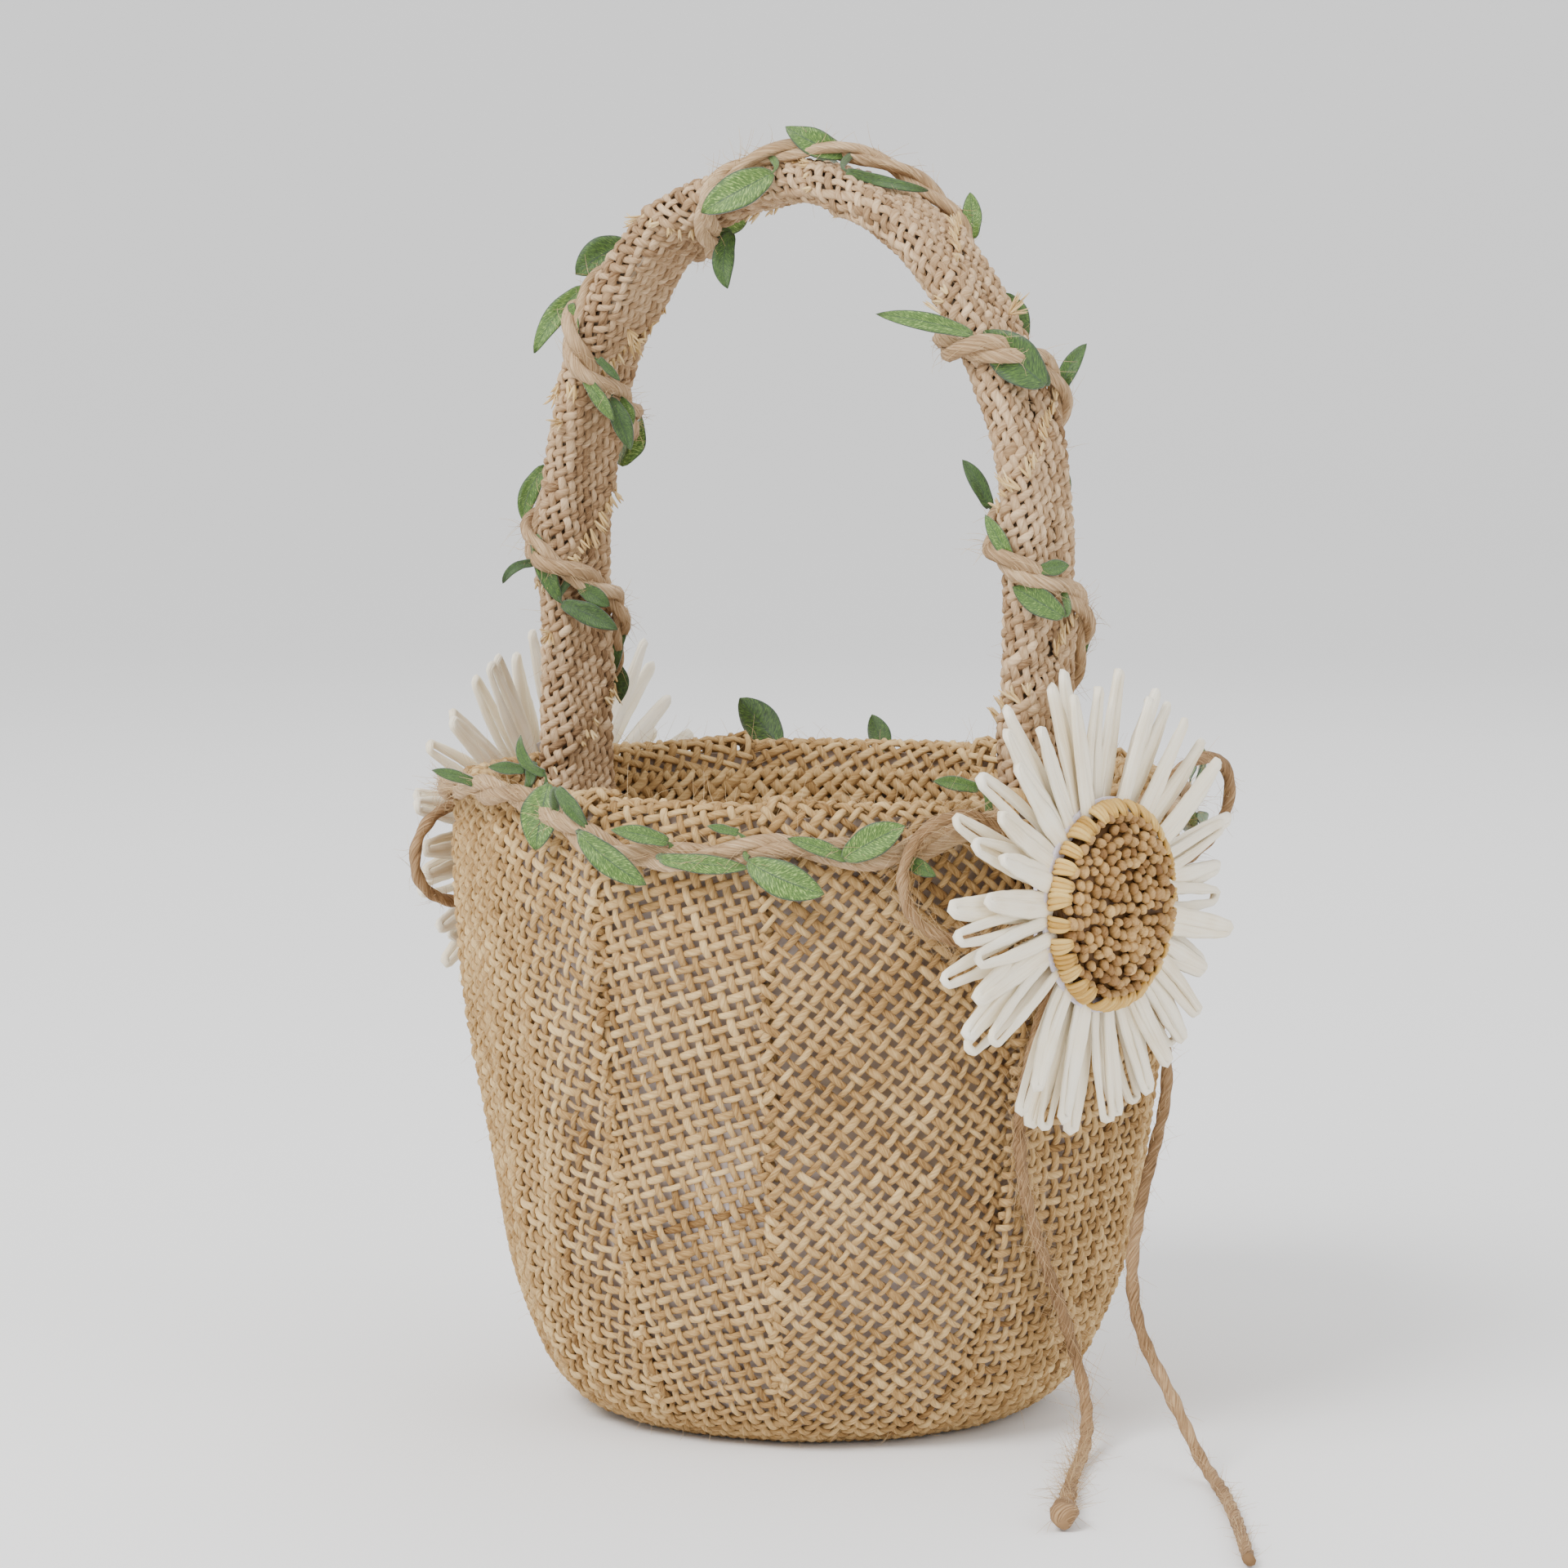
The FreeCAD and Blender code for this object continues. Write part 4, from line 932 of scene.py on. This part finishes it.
for base, tip, width, curl, swing, tone in RIM_LEAVES_SEEN:
    away = unit(np.array([base[0], base[1], 10.0]))
    clear = float(np.select([width > 4.5, width > 2.5], [3.0, 2.5], 1.5))    # off the cloth, by width
    base, tip = base + away * clear * 0.6, tip + away * clear
    face = unit(TO_CAMERA + 0.6 * away)
    leaf_between(sheets, base, tip, face, width, curl, swing, tone, leaf_rng.uniform(-0.3, 0.3))
    stem_to(sheets, base, tip, garland_lines["front"], tone)
rim_leaves = {"front": sheets.build("rim_leaves_front", leaf_mat)}
sheets = Sheets()
for degrees, z, *rest in RIM_LEAVES_BEHIND:
    base = rim_at(np.float64(degrees), z, 68.0)
    away = unit(base * np.array([1, 1, 0]))
    up = np.array([0.0, 0.0, 1.0])
    leaf(sheets, base, np.cross(up, away), up, away, *rest,
         twist=leaf_rng.uniform(-0.4, 0.4), tone=leaf_rng.uniform(0.2, 0.95))
rim_leaves["back"] = sheets.build("rim_leaves_back", leaf_mat)


# ---- daisies ----
# Petals as (angle in the flower's plane from +Y towards up, distance of the tip from the centre).
PETALS = {
    "back": [
        (3, 38), (15, 42), (37, 40), (59, 39), (82, 40), (101, 41), (128, 44), (141, 40), (158, 43),
        (177, 42), (193, 43), (212, 42), (243, 40), (262, 39), (287, 38), (311, 37), (338, 37),
    ],
    "middle": [
        (14, 39), (42, 38), (67, 39), (94, 37), (114, 41), (134, 43), (158, 40), (182, 42), (203, 43),
        (233, 40), (246, 40), (278, 37), (293, 36), (316, 36), (333, 34), (357, 36),
    ],
    "front": [
        (33, 38), (55, 37), (76, 36), (110, 38), (124, 38), (135, 37), (149, 36), (161, 35), (175, 35),
        (189, 38), (198, 40), (211, 40), (230, 37), (249, 38), (268, 37), (297, 33), (324, 35), (347, 35),
    ],
}
LAYER_X = {"back": 68.6, "middle": 70.0, "front": 71.4}
LEAN = {"back": -0.3, "middle": 0.3, "front": 0.8}    # how much further each layer rises at its tips
OUT = np.array([1.0, 0.0, 0.0])
PETAL_START = 11.0


def raffia_petal(tubes, centre, angle, reach, lean, local):
    """A strip of raffia that runs out, folds over at the tip and runs back over itself. Some of the
    folds stay open as loops."""
    turn = math.radians(angle)
    away, side = np.append(0.0, turned(turn)), np.append(0.0, turned(turn + math.pi / 2))
    loop = local.random() < 0.3
    gap = local.uniform(1.15, 1.45) if loop else local.uniform(0.55, 0.85)
    full = local.uniform(1.9, 2.3) if loop else local.uniform(2.7, 3.3)
    bow = local.uniform(-1.8, 1.8)
    rise = local.uniform(-0.2, 2.0) + lean
    sag = local.uniform(-0.5, 0.9)
    fold = reach - 1.1
    shares = np.linspace(0, 1, 10)
    route = [(PETAL_START + (fold - PETAL_START) * share, -1, share) for share in shares]
    for turn_back in (-50, 0, 50):
        route.append((fold + 0.8 * math.cos(math.radians(turn_back)), turn_back / 50 * 0.7, 1.0))
    route += [(PETAL_START + (fold - PETAL_START) * share, 1, share) for share in shares[::-1]]
    line = []
    for r, leg, share in route:
        spread = gap * (0.45 + 0.75 * math.sin(math.pi * min(share * 0.78 + 0.1, 1)) ** 0.9)
        height = rise * share**1.7 + sag * math.sin(math.pi * share) + (0.4 if leg > 0 else -0.15)
        place = centre + away * r + side * (leg * spread + bow * share * share) + OUT * height
        line.append(np.append(place, 0.45 + 0.62 * math.sin(math.pi * min(share * 0.80 + 0.12, 1)) ** 0.8))
    line = smooth_line(line, 0.8)
    line, shape = line[:, :3], line[:, 3]
    s = np.linspace(0, 1, len(line))
    number = int(local.integers(1 << 30))
    uneven = 0.10 * value_noise(s * 40, number, 3.0) + 0.05 * value_noise(s * 40, number + 1, 1.0)
    width = full * shape * (1 + uneven)
    thick = 1.0 + 0.15 * value_noise(s * 40, number + 2, 2.0)
    tip = np.exp(-((s - 0.5) / 0.03) ** 2)
    base = 0.66 + 0.09 * local.normal()
    # Both ends of the strip, where it runs in under the seed head, are painted dark as shade, and the fold
    # at the tip is painted a little lighter as a highlight.
    tones = base - 0.6 * np.clip(1 - np.minimum(s, 1 - s) / 0.15, 0, 1) + 0.12 * tip
    tones = tones + 0.12 * value_noise(s * 40, number + 3, 2.5)
    normals = OUT + side * (0.25 * value_noise(s * 40, number + 4, 8.0))[:, None]
    tubes.add(line, unit(normals), width, thick + 0.5 * tip, tones, plies=4, twist=0.05, depth=0.11,
              phase=float(local.uniform(0, 6)))


def lump(tubes, place, along, normal, length, width, height, tone):
    """A small rounded bead of fibre."""
    t = np.linspace(-1, 1, 6)
    size = np.sqrt(np.clip(1 - (t * 0.97) ** 2, 0.04, 1))
    line = place + along * (t * length / 2)[:, None]
    # The bead's raised middle is painted lighter than its tucked-in ends: painted light and shade.
    tubes.add(line, np.tile(normal, (6, 1)), width * size, height * size, tone + 0.1 * size)


def flip(side, v):
    """Turns something made for the +X side round to the -X side."""
    v = np.asarray(v, float)
    return v if side > 0 else v * np.array([-1.0, -1.0, 1.0])


def seed_knots(centre_y, local):
    """Rings of small knots that make a low dome, over a dark bed that paints the shade between them."""
    knots = Tubes(8)
    ring_r = 15.1
    while ring_r > -0.1:
        count = max(1, int(round(2 * math.pi * ring_r / 2.25)))
        shift = local.uniform(0, 1)
        for i in range(count):
            a = (i + shift + 0.12 * local.normal()) * 2 * math.pi / count
            r = ring_r + local.normal() * 0.18
            away, around = np.append(0.0, turned(a)), np.append(0.0, turned(a + math.pi / 2))
            dome = 76.9 - 1.3 * (max(r, 0) / 15) ** 3 + local.normal() * 0.20
            spot = np.array([dome - 0.9, centre_y, FLOWER_Z]) + away * r
            tone = 0.60 + 0.12 * local.normal()
            lean = local.uniform(-1.0, 1.0)
            size = 1 + 0.10 * local.normal()
            go = around * math.cos(lean) + away * math.sin(lean)
            beside = away * math.cos(lean) - around * math.sin(lean)
            lump(knots, spot, unit(go + OUT * 0.2), OUT, 2.2 * size, 1.5 * size, 2.1 * size, tone)
            second = spot + beside * (0.55 * local.choice([-1, 1])) - OUT * 0.22
            # The second bead sits lower, and its tone is 0.08 darker as painted shade.
            lump(knots, second, unit(go - OUT * 0.3), OUT, 1.7 * size, 1.15 * size, 1.8 * size, tone - 0.08)
        ring_r -= 1.98
    # The bed's tone of 0 paints it near black, as the shade in the gaps between the knots.
    for depth_in, radius in ((71.9, 16.2), (73.0, 15.4), (73.9, 13.4)):
        bed = np.array([[depth_in + 0.55 * k, centre_y, FLOWER_Z] for k in range(3)])
        knots.add(bed, np.tile([0.0, 0.0, 1.0], (3, 1)), 2 * radius, 2 * radius, 0.0)
    return knots


def seed_border(centre_y, local, count=33):
    """A ring of straw tufts, each of three strands bent in over the knots."""
    tufts = Tubes(8)
    for i in range(count):
        a = (i + 0.10 * local.normal()) * 2 * math.pi / count
        away, around = np.append(0.0, turned(a)), np.append(0.0, turned(a + math.pi / 2))
        tone = 0.60 + 0.10 * local.normal()
        size = 1 + 0.10 * local.normal()
        skew = 0.35 * local.normal()
        for lobe in (-1, 0, 1):
            puff = (1.05 if lobe == 0 else 0.95) * size
            # Distance out from the wall, from the centre and to the side.
            keys = [(71.9, 17.0, lobe * 0.90), (73.2, 17.4 + 0.35 * puff, lobe * size + skew * 0.5),
                    (74.7, 16.6, lobe * 0.80 + skew), (75.3, 15.3, lobe * 0.4 + skew)]
            line = smooth_line([np.array([x, centre_y, FLOWER_Z]) + away * r + around * aside
                                for x, r, aside in keys], 0.5)
            swell = np.sin(np.linspace(0.55, 2.75, len(line))) ** 0.7
            # The thin ends of each strand, where it tucks in at the wall and over the knots, are painted
            # 0.25 darker: painted shade.
            tones = tone + 0.10 * local.normal() - 0.25 * (swell < 0.75)
            tufts.add(line, np.tile(away, (len(line), 1)), 1.12 * puff * swell, 1.05 * puff * swell,
                      tones, plies=3, twist=0.8, depth=0.12, phase=float(lobe))
    return tufts


def flower(name, side, centre_y, seed):
    local = np.random.default_rng(seed)
    made = {}
    for layer, petals in PETALS.items():
        tubes = Tubes(12)
        centre = np.array([LAYER_X[layer], centre_y, FLOWER_Z])
        for angle, reach in petals:
            raffia_petal(tubes, centre, angle, reach, LEAN[layer], local)
        made["petals_" + layer] = tubes
    made["knots"] = seed_knots(centre_y, local)
    made["tufts"] = seed_border(centre_y, local)
    mats = {"knots": seed_mat, "tufts": tuft_mat}
    built = {}
    for part, tubes in made.items():
        tubes.points = [flip(side, p) for p in tubes.points]
        built[part] = tubes.build("daisy_%s_%s" % (part, name), mats.get(part, raffia))
    return built


flowers = {"right": flower("right", 1, -12.0, 61), "left": flower("left", -1, -10.0, 62)}


# ---- bows ----
FREE_LOOP = {
    "right": [
        (65.05, -9.2, 100.3), (65.2, -3.0, 106.0), (65.6, 5.0, 111.2), (66.0, 13.5, 115.4),
        (66.0, 21.5, 118.4), (66.0, 28.5, 119.2), (66.0, 33.6, 116.6), (66.0, 34.8, 111.6),
        (66.0, 31.8, 106.6), (65.9, 25.6, 102.8), (65.6, 17.6, 100.4), (65.3, 9.0, 98.8),
        (65.1, 0.6, 97.8), (65.05, -8.0, 97.5),
    ],
    "left": [
        (65.05, -9.2, 100.3), (65.2, -2.4, 102.6), (65.5, 5.6, 104.8), (65.7, 14.0, 106.2),
        (65.8, 22.4, 106.6), (65.8, 29.6, 105.0), (65.8, 34.4, 100.6), (65.8, 35.0, 95.0),
        (65.8, 31.6, 90.6), (65.7, 25.0, 88.2), (65.5, 17.0, 88.0), (65.3, 9.0, 90.0),
        (65.1, 1.0, 93.4), (65.05, -8.2, 96.6),
    ],
}
WALL_LOOP = [
    (65.05, -14.8, 100.3), (65.0, -20.0, 104.6), (64.0, -26.5, 109.4), (61.8, -32.6, 112.8),
    (58.6, -38.2, 113.6), (55.4, -42.6, 111.0), (53.6, -44.8, 106.2), (53.4, -45.2, 100.6),
    (54.8, -43.4, 95.6), (58.0, -38.6, 92.4), (61.4, -32.0, 91.6), (63.8, -25.0, 93.4),
    (65.05, -16.0, 96.9),
]
OUTER_TAIL = {
    "right": [
        (65.05, -10.0, 94.0), (65.1, -7.0, 88.0), (65.3, -1.6, 82.4), (65.6, 5.6, 78.0),
        (65.9, 12.4, 73.6), (66.1, 15.4, 66.4), (66.3, 14.4, 58.8), (66.7, 10.8, 52.2),
        (67.4, 6.8, 45.8), (68.4, 2.6, 39.0), (70.0, -1.2, 32.2), (72.8, -4.0, 25.6),
        (76.8, -6.2, 20.0), (81.6, -7.4, 14.6), (86.2, -8.4, 8.6), (90.0, -9.4, 3.4),
        (95.8, -13.6, 1.3), (104.4, -23.0, 1.3), (113.6, -34.0, 1.3), (122.6, -45.4, 1.3),
        (132.0, -57.6, 1.3),
    ],
    "left": [
        (65.05, -10.0, 94.0), (65.5, -8.6, 85.0), (66.0, -8.0, 73.0), (66.6, -8.6, 60.0),
        (67.4, -10.2, 47.0), (68.4, -12.6, 34.0), (69.4, -15.4, 22.0), (70.4, -18.6, 11.6),
        (71.0, -22.6, 4.2), (70.6, -29.6, 1.3), (67.4, -39.6, 1.3), (60.8, -50.0, 1.3),
        (50.8, -59.4, 1.3), (38.6, -66.6, 1.3), (25.0, -71.0, 1.3),
    ],
}
INNER_TAIL = {
    "right": [
        (65.05, -14.2, 94.1), (64.6, -16.2, 88.0), (63.8, -18.4, 80.6), (62.4, -20.4, 71.6),
        (60.6, -21.2, 62.0), (59.6, -19.8, 52.0), (59.2, -16.2, 42.6), (58.8, -11.2, 33.8),
        (58.0, -5.8, 26.0), (57.4, -1.4, 18.6), (58.6, 0.2, 12.0), (62.4, -3.2, 6.6),
        (66.4, -9.2, 3.0), (70.2, -16.2, 1.3), (75.4, -25.8, 1.3), (82.0, -36.2, 1.3),
        (88.6, -46.4, 1.3),
    ],
    "left": [
        (65.05, -14.2, 94.1), (64.4, -16.6, 87.0), (62.8, -19.6, 77.0), (61.2, -22.4, 66.0),
        (60.2, -24.6, 54.6), (59.2, -26.6, 43.0), (58.2, -28.6, 31.6), (57.4, -31.0, 20.6),
        (56.8, -34.0, 10.6), (55.2, -38.0, 3.6), (50.4, -42.6, 1.3), (43.2, -48.8, 1.3),
        (33.8, -55.0, 1.3), (23.2, -59.6, 1.3), (12.6, -62.6, 1.3),
    ],
}


def spline_points(name, route):
    """Points of the smooth NURBS line that has the route as its control points, in millimetres."""
    data = bpy.data.curves.new(name + "_route", "CURVE")
    data.dimensions = "3D"
    data.resolution_u = 16
    spline = data.splines.new("NURBS")
    spline.points.add(len(route) - 1)
    for point, place in zip(spline.points, route):
        point.co = (*[c * MM for c in place], 1)
    spline.order_u = 3
    spline.use_endpoint_u = True
    ob = bpy.data.objects.new(name + "_route", data)
    mesh = bpy.data.meshes.new_from_object(ob)
    points = np.array([v.co[:] for v in mesh.vertices]) / MM
    bpy.data.objects.remove(ob)
    bpy.data.meshes.remove(mesh)
    bpy.data.curves.remove(data)
    return points


def bow_cord(name, route, side, seed, far_end):
    route = [tuple(flip(side, p)) for p in route]
    line = even(spline_points(name, route), 0.55)
    normals = frames(line, flip(side, OUT))
    tubes = Tubes(10)
    left_over = 0.55 * np.arange(len(line))[::-1]
    frayed = 1 + 0.45 * np.clip(1 - left_over / 16.0, 0, 1) if far_end == "knot" else 1.0
    laid = line.copy()
    laid[:, 2] = np.maximum(line[:, 2], 0.62 * BOW_D * frayed)
    strand(tubes, laid, normals, BOW_D * 0.96 * frayed, seed, plies=2, lay=5.5, depth=0.12, tone=0.42)
    piece = tubes.build(name + "_twine", bow_mat)
    fuzzy = name == "bow_wall_loop_right" or name == "bow_inner_tail_right"
    hair_on(line, 1.0, int(len(line) * (3.6 if fuzzy else 1.2)), seed + 5,
            length=(2.0, 7.0) if fuzzy else (1.2, 4.0), width=0.09, tone=0.3 if fuzzy else 0.5)
    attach(piece, "root")
    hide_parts(name)
    return piece


def tail_knot(name, route, side, seed):
    """A small knot that stops the twine's end from fraying."""
    end = np.array(route[-1], float)
    along = unit(end - np.array(route[-2], float))
    up = np.array([0.0, 0.0, 1.0])
    t = np.linspace(0, 1, 22)
    line = end - along * 0.4 + along * (t * 12.6)[:, None] + up * (1.25 * np.sin(math.pi * t))[:, None]
    sizes = np.interp(t, [0, 0.15, 0.4, 0.6, 0.78, 0.92, 1], [3.0, 3.0, 3.6, 4.4, 4.7, 3.9, 2.1])
    line[:, 2] = np.maximum(line[:, 2], 0.51 * sizes)
    tubes = Tubes(14)
    points = np.array([flip(side, p) for p in line])
    tubes.add(points, np.tile(up, (22, 1)), sizes, sizes * 0.9, 0.42 + 0.1 * value_noise(t * 22, seed, 3.0),
              plies=3, twist=0.45, depth=0.13)
    hair_on(points, 2.2, 40, seed, length=(1.5, 4.0))
    piece = tubes.build(name + "_end", bow_mat)
    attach(piece, "root")
    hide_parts(name)
    return piece


for number, (name, side) in enumerate((("right", 1), ("left", -1))):
    centre = np.array([65.05, -12.0, 97.5])
    tubes = Tubes(10)
    for k, (tilt, radius) in enumerate(((0.3, 2.5), (1.2, 2.4), (-0.5, 2.3))):
        turns = np.linspace(0, 2 * math.pi, 30)
        flat = np.array([0.0, math.cos(tilt), math.sin(tilt)])
        line = centre + flat * (radius * np.cos(turns))[:, None] + OUT * (0.75 * np.sin(turns))[:, None]
        line = line + np.array([0.0, -math.sin(tilt), math.cos(tilt)]) * (0.6 * (k - 1))
        line = np.array([flip(side, p) for p in line])
        strand(tubes, line, frames(line, [0.1, 0.2, 1.0]), 2.0, 700 + k, plies=2, lay=5.0, tone=0.42)
    knot = tubes.build("bow_knot_%s_twine" % name, bow_mat)
    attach(knot, "root")
    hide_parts("bow_knot_" + name)
    seed = 720 + 50 * number
    bow_cord("bow_free_loop_" + name, FREE_LOOP[name], side, seed, "object")
    bow_cord("bow_wall_loop_" + name, WALL_LOOP, side, seed + 10, "object")
    bow_cord("bow_outer_tail_" + name, OUTER_TAIL[name], side, seed + 20, "bare")
    end = tail_knot("bow_tail_knot_" + name, INNER_TAIL[name], side, seed + 30)
    bow_cord("bow_inner_tail_" + name, INNER_TAIL[name], side, seed + 40, "knot")


# ---- loose fibres and frayed edges ----
fuzz = np.random.default_rng(90)


def stray(spot, out, go, reach, width, tone):
    """One loose fibre that leaves the cloth at spot."""
    t = np.linspace(0, 1, 5)[:, None]
    line = spot + fuzz.uniform(*reach) * (go * t + fuzz.normal(size=3) * 0.3 * t * t)
    line[:, 2] = np.maximum(line[:, 2], 0.2)
    hair(line, np.cross(go, out), width, 0.4, tone + 0.2 * fuzz.normal())


for count, low, high, reach in ((1500, 6, WALL_TOP - 8, (1.5, 4.0)),
                                (1100, WALL_TOP - 10, WALL_TOP + 9, (2.0, 6.5))):
    for _ in range(count):
        theta, y = fuzz.uniform(0, 2 * math.pi), fuzz.uniform(low, high)
        r, z, nr, nz = (float(v) for v in outline_at(y))
        c, s = math.cos(theta), math.sin(theta)
        out = np.array([nr * c, nr * s, nz])
        go = unit(fuzz.normal(size=3) + out * 0.6)
        if go.dot(out) < 0.05:
            go = go - out * (go.dot(out) - 0.05)
        stray(np.array([r * c, r * s, z]) - out * 0.3, out, go, reach, 0.085, 0.6)
for _ in range(1500):
    along, around = fuzz.uniform(0, HOOP_LENGTH), fuzz.uniform(0, AROUND)
    spot, out = band_at(np.array([along]), np.array([around]), np.array([0.4]))
    stray(spot[0], out[0], unit(fuzz.normal(size=3) + out[0] * 0.5), (1.0, 3.2), 0.08, 0.55)
loose_hair = hairs.build("loose_fibres", hair_mat)

frays = Tubes(5)


def stub(spot, out, go, length, width):
    """The cut end of a yarn, which opens into a few strands."""
    for _ in range(4):
        spread = unit(go + fuzz.normal(size=3) * 0.22)
        t = np.linspace(0, 1, 6)[:, None]
        line = spot + length * fuzz.uniform(0.7, 1.15) * (spread * t + out * 0.12 * t * t)
        thin = width * fuzz.uniform(0.35, 0.6) * np.array([0.8, 1.0, 1.05, 0.95, 0.7, 0.25])
        frays.add(line, np.tile(out, (6, 1)), thin, thin * 0.8, 0.68 + 0.15 * fuzz.normal())


lap = FIRST_LAP
while lap < HOOP_LENGTH + TURN_ADVANCE:
    step = 0.0
    while step < AROUND:
        along = lap - step / AROUND * TURN_ADVANCE
        ragged = 0.55 + 0.45 * float(value_noise(np.array([along * 1.7 + step * 3.1]), 77, 5.0)[0])
        if 3 < along < HOOP_LENGTH - 3 and ragged > 0.25:
            at = along - 0.3 + 0.4 * fuzz.normal()
            spot, out = band_at(np.array([at + 0.8]), np.array([step]), np.array([1.35]))
            behind, _ = band_at(np.array([at - 1.2]), np.array([step - 1.0]), np.array([1.0]))
            go = unit(behind[0] - spot[0]) + out[0] * fuzz.uniform(0.0, 0.45)
            go = unit(go + fuzz.normal(size=3) * 0.25)
            stub(spot[0], out[0], go, fuzz.uniform(2.0, 4.2) * ragged + 0.6, 1.1)
        step += fuzz.uniform(0.7, 1.5)
    lap += TURN_ADVANCE
# Tufts that stand out from the handle's edge: distance, degrees round the band, length.
for distance, degrees, length in ((101.0, -100, 3.5), (84.0, 20, 5.0), (81.5, 10, 4.5), (62.0, -100, 4.0),
                                  (50.0, 40, 4.0), (137.0, -10, 4.0), (121.0, 190, 3.5), (221.0, 20, 4.5)):
    spot, forward, out = round_handle(np.array(distance), np.array(float(degrees)), -1.2)
    for _ in range(3):
        stub(spot, out, unit(out + forward * fuzz.uniform(-0.6, 0.3)), length * fuzz.uniform(0.7, 1.1), 1.0)
wrap_frays = frays.build("wrap_frays", fray_mat)


# ---- camera, light and floor ----
def aim_camera():
    cam = bpy.data.objects.new("camera", bpy.data.cameras.new("camera"))
    bpy.context.collection.objects.link(cam)
    cam.data.sensor_width = 36.0
    cam.data.lens = CAMERA_LENS
    eye = Vector((*(CAMERA_AWAY * turned(math.radians(CAMERA_TURN))), CAMERA_HEIGHT)) * MM
    target = Vector(CAMERA_TARGET) * MM
    cam.location = eye
    cam.rotation_mode = "QUATERNION"
    cam.rotation_quaternion = (target - eye).to_track_quat("-Z", "Y")
    cam.data.clip_start, cam.data.clip_end = 0.01, 20.0
    bpy.context.scene.camera = cam


def area_light(name, azimuth, height, distance, size, power):
    light = bpy.data.objects.new(name, bpy.data.lights.new(name, "AREA"))
    light.data.shape = "DISK"
    light.data.size = size
    light.data.energy = power
    turn = math.radians(CAMERA_TURN + azimuth)
    light.location = (distance * math.cos(turn), distance * math.sin(turn), height)
    light.rotation_mode = "QUATERNION"
    light.rotation_quaternion = (Vector((0, 0, 0.1)) - light.location).to_track_quat("-Z", "Y")
    bpy.context.collection.objects.link(light)


aim_camera()
area_light("key", -38, 1.15, 1.1, 0.7, 24)
area_light("fill", 55, 0.7, 1.3, 1.2, 6)
area_light("back", 170, 1.2, 1.1, 1.0, 6)
world = bpy.data.worlds.new("studio")
world.use_nodes = True
world.node_tree.nodes["Background"].inputs[0].default_value = (1, 1, 1, 1)
world.node_tree.nodes["Background"].inputs[1].default_value = 1.05
bpy.context.scene.world = world


def backdrop(half_width=5.0, front=2.5, back=1.8, bend=1.2, height=2.6):
    """A floor that curves up into a wall behind the object. Points across the camera's view."""
    profile = [(-front, 0.0), (back, 0.0)]
    for turn in np.linspace(0, math.pi / 2, 25)[1:]:
        profile.append((back + bend * math.sin(turn), bend * (1 - math.cos(turn))))
    profile.append((back + bend, height))
    away = (-math.cos(math.radians(CAMERA_TURN)), -math.sin(math.radians(CAMERA_TURN)))
    points = []
    for run, z in profile:
        for side in (-half_width, half_width):
            points.append((away[0] * run - away[1] * side, away[1] * run + away[0] * side, z))
    faces = [(2 * i, 2 * i + 1, 2 * i + 3, 2 * i + 2) for i in range(len(profile) - 1)]
    mesh = bpy.data.meshes.new("floor")
    mesh.from_pydata(points, [], faces)
    mesh.polygons.foreach_set("use_smooth", [True] * len(faces))
    return mesh


ground = backdrop()
floor = bpy.data.objects.new("floor", ground)
bpy.context.collection.objects.link(floor)
ground.materials.append(plain_material("floor_white", (0.93, 0.93, 0.93), (0.95, 0.95, 0.95), 3, 0.9, 0.0))

# ---- which piece stands for which node ----
loose = [cover_base, lining, lining_floor, wrap, handle_twine, handle_leaves, loose_hair, wrap_frays]
for piece in cover_pieces + loose + list(garland_tubes.values()) + list(rim_leaves.values()):
    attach(piece, "root")
for piece in cover_pieces + [cover_base]:
    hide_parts("outer_cover")
for piece, pleat, following in zip(cover_pieces, PLEATS, PLEATS[1:] + PLEATS[:1]):
    width = math.radians((following[0] - pleat[0]) % 360) * 63.0 + PLEAT_TAKE_UP
    length = OUTLINE_END + 8.0
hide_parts("inner_lining")
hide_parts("lining_floor")
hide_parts("handle_wrap")

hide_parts("handle_garland_twine")
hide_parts("handle_garland_leaves")
for side in ("front", "back"):
    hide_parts("rim_garland_twine_" + side)
    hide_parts("rim_garland_leaves_" + side)
for side, parts in flowers.items():
    for part, piece in parts.items():
        node = {"knots": "seed_knots", "tufts": "seed_border"}.get(part, part)
        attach(piece, "root")
        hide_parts("%s_%s" % (node, side))

KEPT = {"bucket_core": core_mat, "base_board": board_mat, "handle_strip": strip_mat}
for side in ("right", "left"):
    KEPT["handle_glue_" + side] = glue_mat
    KEPT["flower_glue_" + side] = glue_mat
    KEPT["flower_backing_" + side] = felt_mat
    KEPT["seed_collar_" + side] = felt_mat
    KEPT["seed_pad_" + side] = seed_mat
for node, material in KEPT.items():
    nodes[node].data.materials.clear()
    nodes[node].data.materials.append(material)
